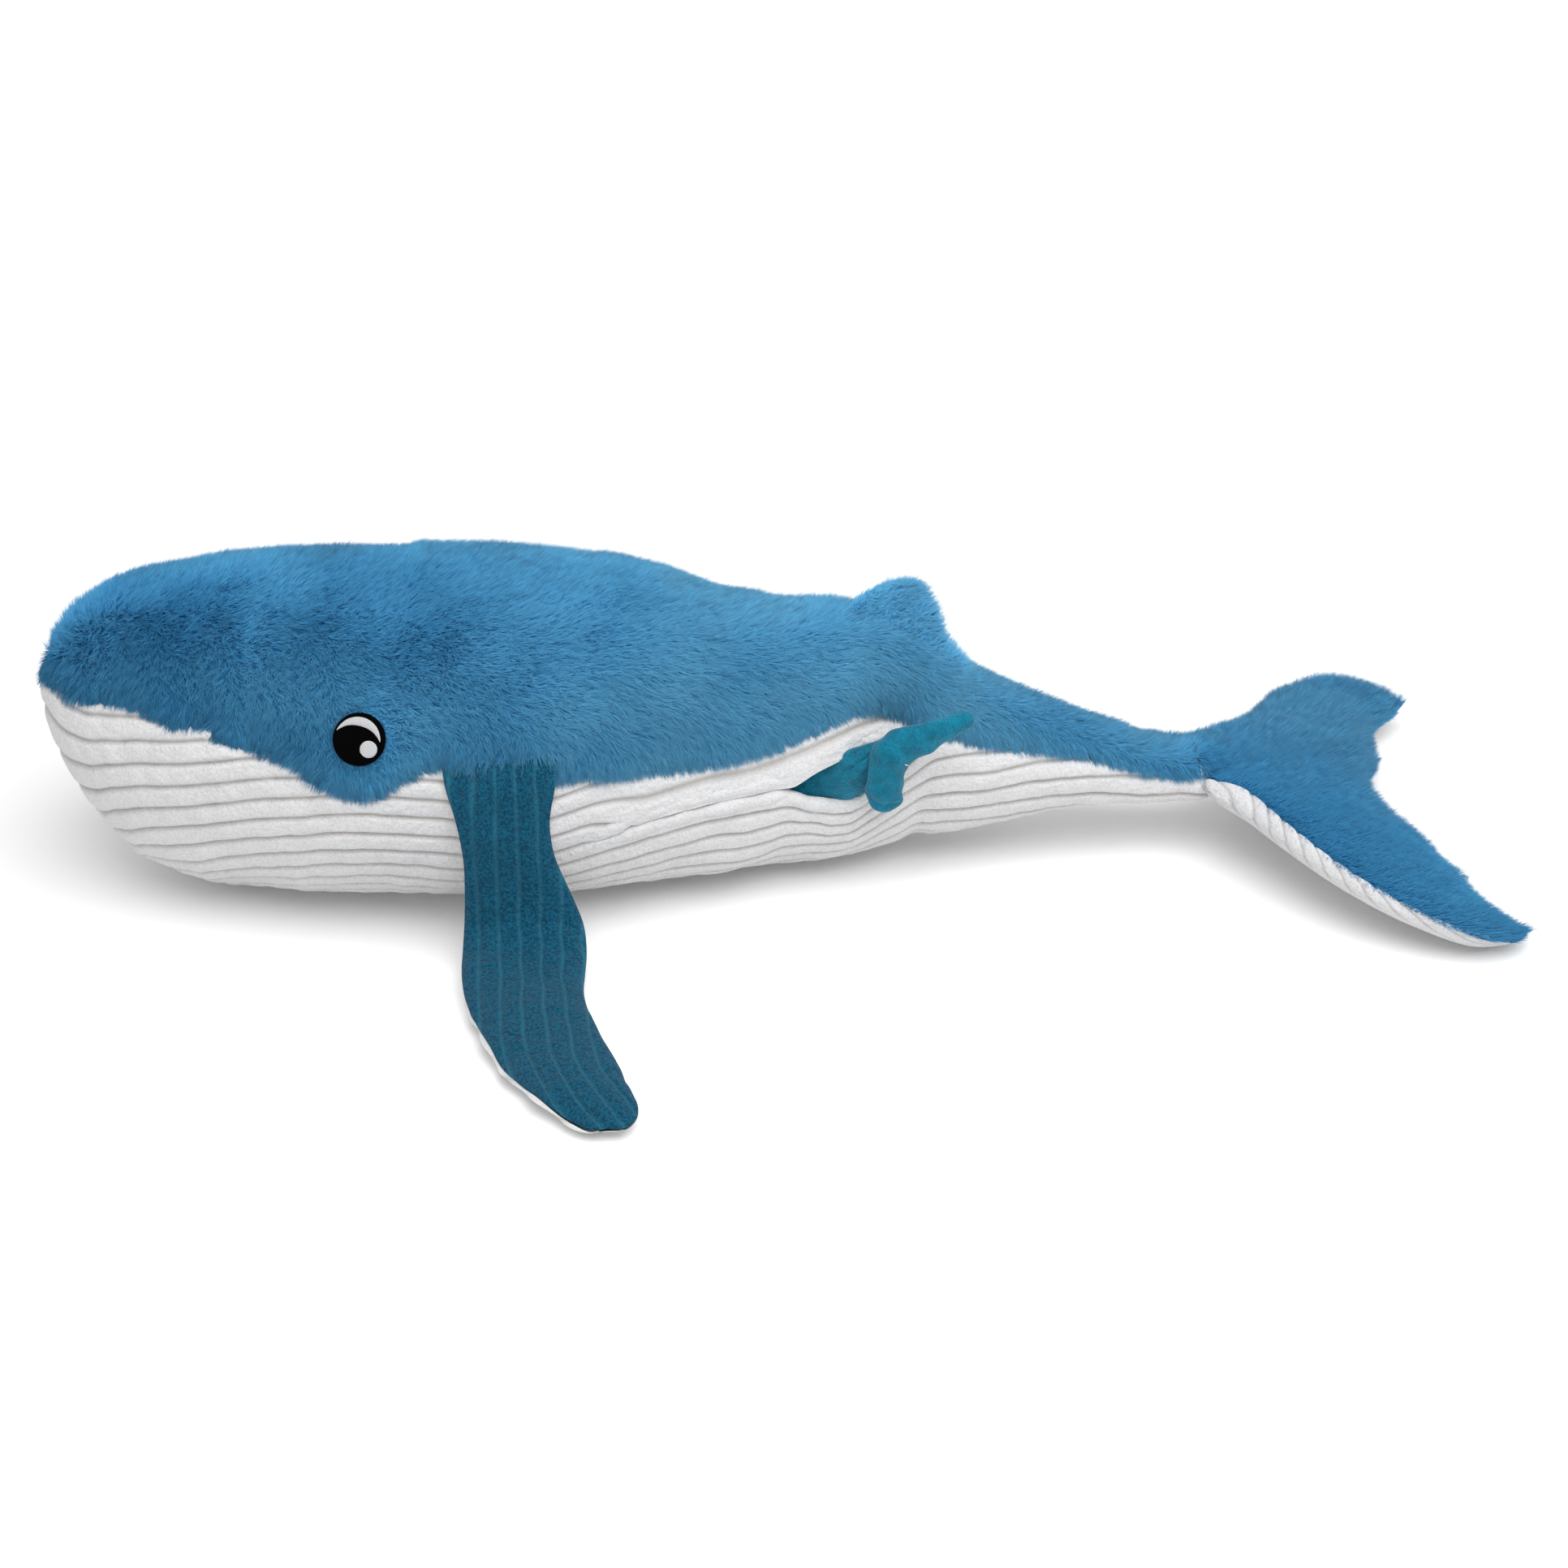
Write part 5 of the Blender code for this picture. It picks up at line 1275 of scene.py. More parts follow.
class PLUSH_OT_pouch(bpy.types.Operator):
    """Rolled lips and cloth bag of the pouch."""

    bl_idname = "plush.pouch"
    bl_label = "Pouch"

    def execute(self, context):
        settings = settings_of(context)
        material = white_rib(settings.rib)
        for name, side, node in (("upper_lip", 1, "pouch_lip_upper"), ("lower_lip", -1, "pouch_lip_lower")):
            rings = lip_points(side)
            rings = rings + (0.0006 * wander(rings, 0.02, 21 + side))[..., None] * unit(
                rings - rings.mean(axis=1, keepdims=True))
            lip = closed_loft(name, rings, material)
            count = np.full(len(lip.data.vertices), 0.5)
            add_layer(lip, "Ribs", np.stack([count, count * 0], axis=-1))
            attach(lip, "whale")
            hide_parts(node)
        bag = self.bag(cloth_material("pouch_bag_cloth", tuple(settings.small.lining)))
        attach(bag, "whale")
        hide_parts("pouch_lining")
        return {"FINISHED"}

    def bag(self, material):
        """Bag behind the mouth: a stadium outline carried inwards and closed at its slanted back."""
        turns = np.linspace(0, 2 * math.pi, 96, endpoint=False)
        depth = np.concatenate([np.linspace(0, 0.93, 24), [0.97, 0.99, 1.0]])
        size = np.concatenate([np.ones(24), [0.985, 0.94, 0.86]])
        straight = POUCH_HALF_LENGTH - POUCH_HALF_HEIGHT
        across = np.cos(turns)
        x = POUCH_CENTRE_X + (np.sign(across) * straight * np.clip(np.abs(across) * 4, 0, 1)
                              + POUCH_HALF_HEIGHT * across)[None, :] * size[:, None]
        z = POUCH_CENTRE_Z + POUCH_HALF_HEIGHT * np.sin(turns)[None, :] * size[:, None]
        skin = -skin_half_width(x, z, 0.98, 0.007)
        floor = POUCH_FLOOR_Y + POUCH_SLANT * x
        y = skin + (floor - skin) * depth[:, None]
        points = np.stack([x, y, z], axis=-1)
        points = np.concatenate([points, pole(points[-1:])])
        inward = points.mean(axis=(0, 1)) - points
        return new_piece("pouch_bag", points, grid_quads(*points.shape[:2], wrap=True), material, inward)


class PLUSH_OT_tail(bpy.types.Operator):
    """Furred and ribbed tail stock."""

    bl_idname = "plush.tail"
    bl_label = "Tail stock"

    def execute(self, context):
        settings = settings_of(context)
        skin = make_back_skin("tail_skin", TAIL_SPLIT_SHARE, 1.0, backing_material(settings.fur))
        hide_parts("tail_fur", "tail_filling")
        patch = back_patch(TAIL_SPLIT_SHARE, 1.0, 0.0005)
        hair = grow_fur("tail_hair", patch, settings.fur, comb_back, 131, fur_material(settings.fur),
                        hem=HEM_RISE)
        rib = belly_piece("tail_rib_sheet", TAIL_SPLIT_SHARE, 1.0, settings.rib,
                          white_rib(settings.rib), False)
        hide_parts("tail_rib")
        for made in (skin, *hair, rib):
            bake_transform(made)
        return {"FINISHED"}


def fluke_form(span, chord):
    """Middle surface and half thickness of the flukes at span -1 to 1 and chord 0 to 1."""
    reach = np.abs(span)
    lead_x, lead_y, trail_x, trail_y, swell = (glide(FLUKE_ROW_SHARES, i, reach) for i in range(1, 6))
    seam_x = place_x(1.0)
    far = np.clip(-span / 0.1, 0, 1)
    lead_x = lead_x + (glide(FAR_LEAD_ROWS, 1, reach) - lead_x) * far
    trail_x = trail_x - 0.070 * far * hump(reach, 0.58, 0.22)
    x = seam_x + FLUKE_REACH * (lead_x + (trail_x - lead_x) * chord)
    y = -np.sign(span) * FLUKE_HALF_SPAN * (lead_y + (trail_y - lead_y) * chord)
    root_z, root_tall = body_middle(1.0)
    root_wide = body_half_width(1.0)
    run = rising(x, seam_x, FLUKE_REACH * 0.94)
    z = root_z + (FLUKE_TIP_LIFT - root_z) * run ** 1.2
    z = z + FAR_TIP_LIFT * far * rising(reach, 0.7, 0.3) ** 1.6
    lens = rounded(2 * chord ** 0.8 - 1)
    half = (FLUKE_HALF_THICKNESS + 0.0020) * swell * lens * rounded(rising(reach, 0.9, 0.1))
    root_half = root_tall * rounded(y / (root_wide * 1.06))
    stock = np.clip(1 - run * 2.0, 0, 1) ** 1.1
    half = np.maximum(half, root_half * stock)
    return np.stack([x, y, z], axis=-1), half


def fluke_wrap(span):
    """How far the ribbed underside comes round the leading edge: not at all at the root."""
    reach = np.abs(span)
    rise = rising(reach, 0.10, 0.12)
    return FLUKE_WRAP * rise * rise * (3 - 2 * rise) * (1 - 0.6 * reach) * np.where(span < 0, 0.15, 1.0)


def fluke_surface(span, chord, depth, face):
    """Points on the upper (face 1) or under side (face -1) of the flukes at a depth."""
    middle, half = fluke_form(span, chord)
    points = middle.copy()
    points[..., 2] += face * np.maximum(half - depth, 0.0002)
    return points


class PLUSH_OT_flukes(bpy.types.Operator):
    """Flukes with a furred top and a ribbed underside."""

    bl_idname = "plush.flukes"
    bl_label = "Flukes"

    def execute(self, context):
        settings = settings_of(context)
        span, chord = np.meshgrid(np.linspace(-1, 1, 91), np.linspace(0, 1, 41), indexing="ij")
        first = 0.02 + 0.8 * fluke_wrap(span)
        held = first + (0.98 - first) * chord
        upper = fluke_surface(span, held, FLUKE_FUR_DEPTH, 1)
        inner = fluke_surface(span, held, FLUKE_FUR_DEPTH + BACKING_THICKNESS, 1)
        skin = closed_leaf("fluke_skin", upper, inner, backing_material(settings.fur))
        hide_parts("flukes_fur", "left_fluke_filling", "right_fluke_filling")
        rib = self.underside(settings.rib)
        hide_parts("flukes_rib")
        hair = self.hair(settings.fur)
        for made in (skin, rib, *hair):
            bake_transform(made)
        return {"FINISHED"}

    def underside(self, settings):
        """Ribbed sheet below, which comes round the leading edges and reaches under the tail's sheet."""
        wrapped = -np.linspace(1, 0, 10)[:-1] ** 1.5 * FLUKE_WRAP
        chords = np.concatenate([wrapped, np.linspace(0, 1, 111) ** 1.25])
        span, chord = np.meshgrid(np.linspace(-1, 1, 301), chords, indexing="ij")
        face = np.where(chord < 0, 1, -1)
        count = 0.5 + np.abs(span) * 15.0 + chord * FLUKE_RIB_SLANT
        chord = np.where(chord < 0, -chord * fluke_wrap(span) / FLUKE_WRAP, chord)
        height = rib_height(count, settings) * (0.35 + 0.5 * np.clip(chord / 0.2, 0, 1))
        under = fluke_surface(span, chord, 0.0028 - height, face)
        under[..., 2] = np.maximum(under[..., 2], FLUKE_FLOOR)
        root = np.clip(1 - (under[..., 0] - NOSE_X - BODY_LENGTH) / FLUKE_UNDERLAP_LENGTH, 0, 1)
        middle = body_middle(1.0)[0]
        under[..., 0] -= FLUKE_UNDERLAP * root
        under[..., 2] += FLUKE_UNDERLAP_RISE * root ** 2 * np.sign(middle - under[..., 2])
        under[..., 1] *= 1 - FLUKE_UNDERLAP_SLIM * root ** 2
        down = np.array([0, 0, -1.0]) * np.ones_like(under)
        return sheet("fluke_rib_sheet", under, down, white_rib(settings), count)

    def hair(self, settings):
        """Fur on top, which reaches over the tail's fur at the root and fans out to both tips."""
        def surface(u, v, depth):
            span = 2 * u - 1
            wrap = fluke_wrap(span)
            points = fluke_surface(span, wrap + (1 - wrap) * v, depth, 1)
            points[..., 0] -= 0.006 * np.clip(1 - v / 0.10, 0, 1) * np.clip(1.6 - np.abs(span) / 0.14, 0, 1)
            return points

        def comb(points, u, v, along, across, edge):
            aside = np.clip(np.abs(points[:, 1]) / 0.04, 0, 1)
            way = np.zeros_like(points)
            way[:, 0] = 1.0 - 0.60 * hump(v, 0, 0.09) * aside
            way[:, 1] = np.sign(points[:, 1]) * 0.7 * aside
            return unit(way)

        patch = Patch(surface, lambda points: np.array([0, 0, 1.0]) * np.ones_like(points))
        return grow_fur("fluke_hair", patch, settings, comb, 151, fur_material(settings),
                        length_share=0.85, depth=FLUKE_FUR_DEPTH, parts=2, tone=fluke_painted_shade)


def fin_surface(turn, height, depth):
    """Points of the dorsal fin: level sections that lean and shrink towards the tip."""
    lean, length, thick = (glide(FIN_SECTION_SHARES, i, height) for i in (1, 2, 3))
    close = 0.15 + 0.85 * rounded(rising(height, 0.92, 0.08))
    half_length = np.maximum(FIN_HALF_LENGTH * length - depth, 0.001) * close
    half_thick = np.maximum(FIN_HALF_THICKNESS * thick - depth, 0.001) * close
    x = FIN_BASE_X + FIN_HALF_LENGTH * lean + half_length * np.cos(turn)
    y = half_thick * np.sin(turn)
    z = FIN_TOP_Z - FIN_HEIGHT * (1 - height) - depth * height
    return np.stack([x, y, z * np.ones_like(x)], axis=-1)


class PLUSH_OT_fin(bpy.types.Operator):
    """Furred dorsal fin."""

    bl_idname = "plush.fin"
    bl_label = "Dorsal fin"

    def execute(self, context):
        settings = settings_of(context).fur
        turn, height = np.meshgrid(np.linspace(0, 2 * math.pi, 65)[:-1], np.linspace(-0.15, 1, 60))
        skin = closed_loft("fin_skin", fin_surface(turn, height, FIN_FUR_DEPTH), backing_material(settings))
        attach(skin, "whale")
        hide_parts("dorsal_fin_fur", "dorsal_fin_filling")

        def surface(u, v, depth):
            return fin_surface(2 * math.pi * v, -0.12 + 1.12 * u, depth)

        def outward(points):
            away = points.copy()
            away[:, 0] -= FIN_BASE_X - 0.012
            away[:, 2] = 0.01
            return away

        def comb(points, u, v, along, across, edge):
            back = np.zeros_like(points)
            back[:, 0] = 0.75
            return unit(along * (0.8 - 0.7 * u ** 3)[:, None] + back)

        patch = Patch(surface, outward, 60, 90)
        for made in grow_fur("fin_hair", patch, settings, comb, 171, fur_material(settings),
                             length_share=0.65, depth=FIN_FUR_DEPTH):
            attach(made, "whale")
        return {"FINISHED"}


def flipper_form(along, across, side):
    """Middle surface, normal and half thickness of a flipper; side is -1 on the left.

    along runs from 0 at the sewn root to 1 at the tip; below 0 the root is tucked up under the fur.
    """
    places = np.linspace(0.33, 0.46, 9)
    axis = np.max(body_half_width(places)) - RIB_SINK - FLIPPER_TUCK + FLIPPER_ROOT_HALF_THICKNESS
    step = 1e-3
    tuck = np.clip(-along / FLIPPER_TUCK_SHARE, 0, 1)

    def line(at):
        return (axis + FLIPPER_REACH * glide(FLIPPER_LINE_SHARES, 1, at),
                FLIPPER_ROOT_Z * glide(FLIPPER_LINE_SHARES, 2, at))

    out, high = line(along)
    out_after, high_after = line(np.clip(along, 0, 1 - step) + step)
    out_before, high_before = line(np.clip(along, 0, 1 - step))
    run = out_after - out_before
    drop = high_after - high_before
    length = np.hypot(run, drop)
    near = [np.clip(along + shift, 0, 1) for shift in (-0.035, 0.0, 0.035)]
    lead, trail, thick = (np.mean([glide(FLIPPER_OUTLINE_SHARES, i, at) for at in near], axis=0)
                          for i in (1, 2, 3))
    rounding = rounded(rising(along, 0.91, 0.09), 2.8)
    centre, spread = (lead + trail) / 2, (trail - lead) / 2 * (0.45 + 0.55 * rounding)
    x = place_x(FLIPPER_AHEAD_SHARE) + FLIPPER_WIDTH * (centre + spread * (2 * across - 1))
    high = high + FLIPPER_TUCK_UP * tuck
    skin = skin_half_width(x, high, 0.9) - 0.0004 - 0.0020 * tuck - 0.0065 * tuck ** 3
    held = np.clip(1 - np.clip(along, 0, 1) / 0.13, 0, 1) ** 1.3
    middle = np.stack([x, side * (out + (skin - out) * held), high], axis=-1)
    normal = np.stack([np.zeros_like(x), side * -drop / length, run / length], axis=-1)
    swell = rounded(2 * across - 1)
    end = rounded(rising(along, 0.93, 0.07))
    root = 0.25 + 0.75 * np.clip(along / 0.13, 0, 1) ** 0.7
    return middle, normal, FLIPPER_HALF_THICKNESS * thick * swell * end * root


class PLUSH_OT_flippers(bpy.types.Operator):
    """Ribbed flippers, teal above and white below."""

    bl_idname = "plush.flippers"
    bl_label = "Flippers"

    def execute(self, context):
        settings = settings_of(context).rib
        share = (1 - np.cos(np.linspace(0, math.pi, 121))) / 2
        places = np.linspace(-FLIPPER_TUCK_SHARE, 1, 190)
        along, across = np.meshgrid(places, share, indexing="ij")
        for name, side in (("left", -1), ("right", 1)):
            middle, normal, half = flipper_form(along, across, side)
            line = glide(FLIPPER_RIB_ROWS, 1, along)
            pinch = np.sin(across * 40) * np.exp(-np.clip(along, 0, 1) / 0.06)
            bend = 0.0009 * wander(middle, 0.05, 62) + 0.0010 * pinch
            count = (middle[..., 0] - line + bend) / FLIPPER_RIB_PITCH
            gathers = 0.0008 * (1 + np.sin(across * 44)) * hump(along, 0, 0.06)
            crease = 0.0013 * wander(middle, 0.045, 61) + 0.0006 * wander(middle, 0.018, 63)
            body = np.clip(half / 0.004, 0, 1)
            rise = rib_height(count, settings, FLIPPER_RIB_PITCH) * 0.80 * body
            rim = rising(along, 0.42, 0.25)
            for face, label, material, slot in ((1, "top", teal_rib(settings), "teal_rib"),
                                                (-1, "under", white_rib(settings), "white_rib")):
                lift = np.maximum(half - 0.0022 * body + rise, 0.0006 * body)
                points = middle + normal * (face * lift + gathers + crease)[..., None]
                if face < 0:
                    out = np.clip(across / 0.008, 0, 1) * np.clip(1 - across / 0.5, 0, 1)
                    points[..., 0] -= 0.0030 * rim * (1 + 0.4 * np.sin(along * 60)) * out
                    points[..., 1] += side * 0.0022 * rising(along, 0.8, 0.2)
                points[..., 2] = np.maximum(points[..., 2], FUR_FLOOR)
                made = sheet(f"{name}_flipper_{label}_sheet", points, normal * face, material, count)
                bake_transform(made)
                nodes = [f"{name}_flipper_{label}"] + ([f"{name}_flipper_filling"] if face > 0 else [])
                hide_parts(*nodes)
        return {"FINISHED"}


def eye_frames():
    """Centre, across, up and outward direction of the left and the right eye."""
    angle = math.asin(EYE_HEIGHT_SHARE)
    step = 0.01
    place = body_surface(EYE_ALONG_SHARE, angle, 0.0)
    ahead = body_surface(EYE_ALONG_SHARE - step, angle, 0.0) - place
    above = body_surface(EYE_ALONG_SHARE, angle + step, 0.0) - place
    out = unit(np.cross(above, ahead))
    out = -out if out[1] > 0 else out
    frames = []
    for side in (-1, 1):
        mirror = np.array([1.0, -side, 1.0])
        centre, away = place * mirror, out * mirror
        up = np.array([0, 0, 1.0])
        up = unit(up - away * (up @ away))
        frames.append((centre, np.cross(up, away), up, away))
    return frames


def over_frame(frame_axes, a, b, height):
    """Points a across and b up from the centre of a frame, at a height over it."""
    centre, across, up, out = frame_axes
    return centre + a[..., None] * across + b[..., None] * up + height[..., None] * out


def dome(name, frame_axes, radius, base, crown, material, offset=(0.0, 0.0)):
    """Embroidered patch: a low dome over a disc."""
    turns = np.linspace(0, 2 * math.pi, 65)[:-1]
    rings = np.linspace(0, 1, 14)[1:]
    ring = rings[:, None] * np.ones((1, len(turns))) * radius
    height = base + crown * rounded(rings[:, None] * 0.98, 2.4) * np.ones_like(ring)
    height = np.where(rings[:, None] > 0.999, base - 0.0035, height)
    a, b = offset[0] + ring * np.cos(turns), offset[1] + ring * np.sin(turns)
    points = over_frame(frame_axes, a, b, height)
    points = np.concatenate([pole(points[:1]), points])
    return new_piece(name, points, grid_quads(*points.shape[:2], wrap=True), material,
                     np.broadcast_to(frame_axes[3], points.shape))


def moon(name, frame_axes, radius, depth, base, crown, material):
    """Crescent along the upper inside of a circle, thickest ahead of the top, as a low ridge."""
    ahead = -np.sign(frame_axes[1][0])
    turn = np.linspace(math.radians(-8), math.radians(160), 61)[:, None]
    share = np.linspace(0, 1, 9)[None, :]
    place = (turn + math.radians(8)) / math.radians(168)
    width = depth * np.sin(math.pi * place) ** 0.8
    size = radius - width * share
    height = base + crown * rounded(2 * share - 1) * np.sin(math.pi * place) ** 0.5
    height = height - 0.0012 * (np.abs(2 * share - 1) > 0.99)
    height = height - crown * 0.5 * (1 - rounded(size / (radius * 1.15), 2.4))
    points = over_frame(frame_axes, ahead * size * -np.cos(turn), size * np.sin(turn), height)
    return new_piece(name, points, grid_quads(*points.shape[:2]), material,
                     np.broadcast_to(frame_axes[3], points.shape))


class PLUSH_OT_eyes(bpy.types.Operator):
    """Embroidered eyes of the large whale."""

    bl_idname = "plush.eyes"
    bl_label = "Eyes"

    def execute(self, context):
        settings = settings_of(context).eye
        black, white = threads(settings)
        for name, axes in zip(("left", "right"), eye_frames()):
            disc = dome(f"{name}_eye_disc", axes, EYE_RADIUS, -0.0010, 0.0028, black)
            crescent = moon(f"{name}_eye_crescent", axes, EYE_RADIUS - EYE_RIM, EYE_CRESCENT_DEPTH,
                            0.0008, 0.0013, white)
            tailward = axes[1][0] / abs(axes[1][0])
            glint = dome(f"{name}_eye_spark", axes, EYE_GLINT_RADIUS, 0.0016, 0.0008, white,
                         (tailward * EYE_GLINT_BACK, -EYE_GLINT_DOWN))
            for made, label, slot in ((disc, "black", "black_thread"), (crescent, "white", "white_thread"),
                                      (glint, "glint", "white_thread")):
                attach(made, "whale")
                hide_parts(f"{name}_eye_{label}")
        return {"FINISHED"}


def baby_line(along):
    """Middle of the small whale at a place along it."""
    x = BABY_NOSE_X + BABY_LENGTH * along
    skin_y = POUCH_FLOOR_Y + POUCH_SLANT * x - POUCH_DEPTH
    y = skin_y + BABY_BACK_DEPTH + BABY_HALF_DEPTH - BABY_OUTWARD * glide(BABY_STATION_SHARES, 1, along)
    z = BABY_Z + BABY_LIFT * glide(BABY_STATION_SHARES, 2, along)
    return np.stack([x, y, z * np.ones_like(x)], axis=-1)


def baby_frames(along):
    """Middle, direction, back direction and side direction of the small whale."""
    step = 0.004
    middle = baby_line(along)
    ahead = unit(baby_line(along + step) - baby_line(along - step))
    back = unit(np.array([0.0, -1.0, 0.0]) + ahead * ahead[..., 1:2])
    return middle, ahead, back, np.cross(back, ahead)


def baby_surface(along, angle, depth):
    """Points of the small whale at a depth under its surface; angle 90 degrees is its back."""
    along, angle = np.broadcast_arrays(np.asarray(along, float), np.asarray(angle, float))
    middle, _, back, side = baby_frames(along)
    swell = hump(along, STOCK_SWELL_AT, 0.13)
    middle = middle + swell[..., None] * STOCK_SWELL_SHIFT
    thick = BABY_HALF_DEPTH * glide(BABY_STATION_SHARES, 3, along) - depth
    wide = BABY_HALF_WIDTH * glide(BABY_STATION_SHARES, 4, along) - depth + STOCK_SWELL_WIDTH * swell
    across, rise = round_section(angle, 2.0, 2.0)
    close = 1 - 0.45 * rising(along, 0.93, 0.07) ** 2
    thick, wide = thick * close, wide * close
    return middle + side * (wide * across)[..., None] + back * (thick * rise)[..., None]


class PLUSH_OT_small_whale(bpy.types.Operator):
    """Small whale in the pouch: body, flippers, eyes and flukes."""

    bl_idname = "plush.small_whale"
    bl_label = "Small whale"

    def execute(self, context):
        settings = settings_of(context)
        teal = smooth_plush_material("teal_plush_pile", tuple(settings.small.back), 0.45)
        white = smooth_plush_material("white_plush_pile", tuple(settings.small.belly), 0.2)
        self.skins(teal, white)
        self.flippers(teal)
        self.eyes(settings.eye)
        self.flukes(teal, white)
        return {"FINISHED"}

    def skins(self, teal, white):
        """Back and belly fabric, which meet at the seam."""
        along = np.linspace(0.0004, 1, 150)[:, None] ** 1.15
        seam = np.arcsin(glide(BABY_SEAM_SHARES, 1, along))
        share = np.linspace(0, 1, 73)[None, :]
        upper = seam + (math.pi - 2 * seam) * share
        lower = math.pi - seam + (math.pi + 2 * seam) * share
        for name, angle, material, nodes, slot in (
            ("small_back_sheet", upper, teal, ("baby_back", "baby_filling"), "teal_plush"),
            ("small_belly_sheet", lower, white, ("baby_belly",), "white_plush"),
        ):
            dent = 0.0007 * falling(np.abs(share - np.round(share)), 0.03, 0.03)
            points = baby_surface(along, angle, 0.0)
            reach = rising(along, 0.45, 0.2)
            fold = 1 - np.abs(np.sin(4.2 * angle + 5.0 * along + 0.6 * wander(points, 0.03, 82)))
            crease = (0.0006 * wander(points, 0.022, 81) - 0.0044 * fold ** 4) * reach
            centre = baby_line(along)
            points = points + unit(points - centre) * (crease - dent - 0.0004)[..., None]
            made = sheet(name, points, points - centre, material)
            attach(made, "small_whale")
            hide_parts(*nodes)

    def flippers(self, teal):
        """Flippers folded back along the belly side."""
        share = np.linspace(0, 1, 40)
        angles = np.linspace(0, 2 * math.pi, 40, endpoint=False)
        along = BABY_FLIPPER_SHARE + share * BABY_FLIPPER_LENGTH / BABY_LENGTH
        middle, _, back, across = baby_frames(along)
        body_thick = BABY_HALF_DEPTH * glide(BABY_STATION_SHARES, 3, along)
        body_wide = BABY_HALF_WIDTH * glide(BABY_STATION_SHARES, 4, along)
        spread = np.minimum(BABY_FLIPPER_SPREAD, body_wide * 0.8)
        under = body_thick * np.sqrt(1 - ((spread - BABY_FLIPPER_HALF_WIDTH) / body_wide) ** 2)
        swell = np.sqrt(np.clip(1 - (2 * share - 1) ** 2, 0.002, 1))
        wide = BABY_FLIPPER_HALF_WIDTH * swell
        thick = BABY_FLIPPER_HALF_THICKNESS * swell
        for name, side in (("left", -1), ("right", 1)):
            centre = middle + across * (side * spread)[:, None] - back * (under + thick)[:, None]
            rings = (centre[:, None, :] + across[:, None, :] * (wide[:, None] * np.cos(angles))[..., None]
                     + back[:, None, :] * (thick[:, None] * np.sin(angles))[..., None])
            made = closed_loft(f"small_{name}_flipper", rings, teal)
            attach(made, "small_whale")
            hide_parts(f"baby_{name}_flipper")

    def eyes(self, settings):
        """Eyes on both sides of the small whale's head."""
        black, white = threads(settings)
        for name, angle in (("left", math.pi), ("right", 0.0)):
            place = baby_surface(BABY_EYE_SHARE, angle, 0.0)
            middle, _, back, _ = baby_frames(np.array(BABY_EYE_SHARE))
            out = unit(place - middle)
            up = unit(back - out * (back @ out))
            axes = (place, np.cross(up, out), up, out)
            disc = dome(f"small_{name}_eye_disc", axes, BABY_EYE_RADIUS, -0.0008, 0.0015, black)
            crescent = moon(f"small_{name}_eye_crescent", axes, BABY_EYE_RADIUS - 0.0009, 0.0022,
                            0.0001, 0.0008, white)
            for made, label, slot in ((disc, "black", "black_thread"), (crescent, "white", "white_thread")):
                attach(made, "small_whale")
                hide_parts(f"baby_{name}_eye_{label}")

    def flukes(self, teal, white):
        """Flukes outside the pouch as one bent band, teal outwards and white behind and in the notch."""
        span = np.sin(np.linspace(-0.5, 0.5, 141) * math.pi)[:, None]
        step = 0.01
        x, z, wide, thick = (glide(SMALL_FLUKE_ROWS, i, span) for i in range(1, 5))
        run, climb = (glide(SMALL_FLUKE_ROWS, i, span + step) - glide(SMALL_FLUKE_ROWS, i, span - step)
                      for i in (1, 2))
        length = np.hypot(run, climb)
        end = rounded(np.maximum(falling(span, -0.72, 0.28), rising(span, 0.90, 0.10)))
        pinch = 1 - 0.22 * hump(span, -0.80, 0.05)
        notch = -0.35 + 1.30 * hump(span, 0.02, 0.09)
        share = np.linspace(0, 1, 61)[None, :]
        for face, name, material, nodes, slot in (
            (1, "small_fluke_top_sheet", teal, ("baby_flukes_top", "baby_flukes_filling"), "teal_plush"),
            (-1, "small_fluke_under_sheet", white, ("baby_flukes_under",), "white_plush"),
        ):
            behind = math.pi + 0.45
            first, last = (notch, behind) if face > 0 else (behind, 2 * math.pi + notch)
            turn = first + (last - first) * share
            aside = wide * end * np.cos(turn)
            points = np.stack([x + aside * climb / length, SMALL_FLUKE_Y - thick * end * pinch * np.sin(turn),
                               z - aside * run / length], axis=-1)
            middle = np.stack([x, np.full_like(x, SMALL_FLUKE_Y), z], axis=-1)
            points = points + unit(points - middle) * (0.0008 * wander(points, 0.012, 91) * end)[..., None]
            made = sheet(name, points, points - middle, material)
            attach(made, "small_flukes")
            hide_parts(*nodes)


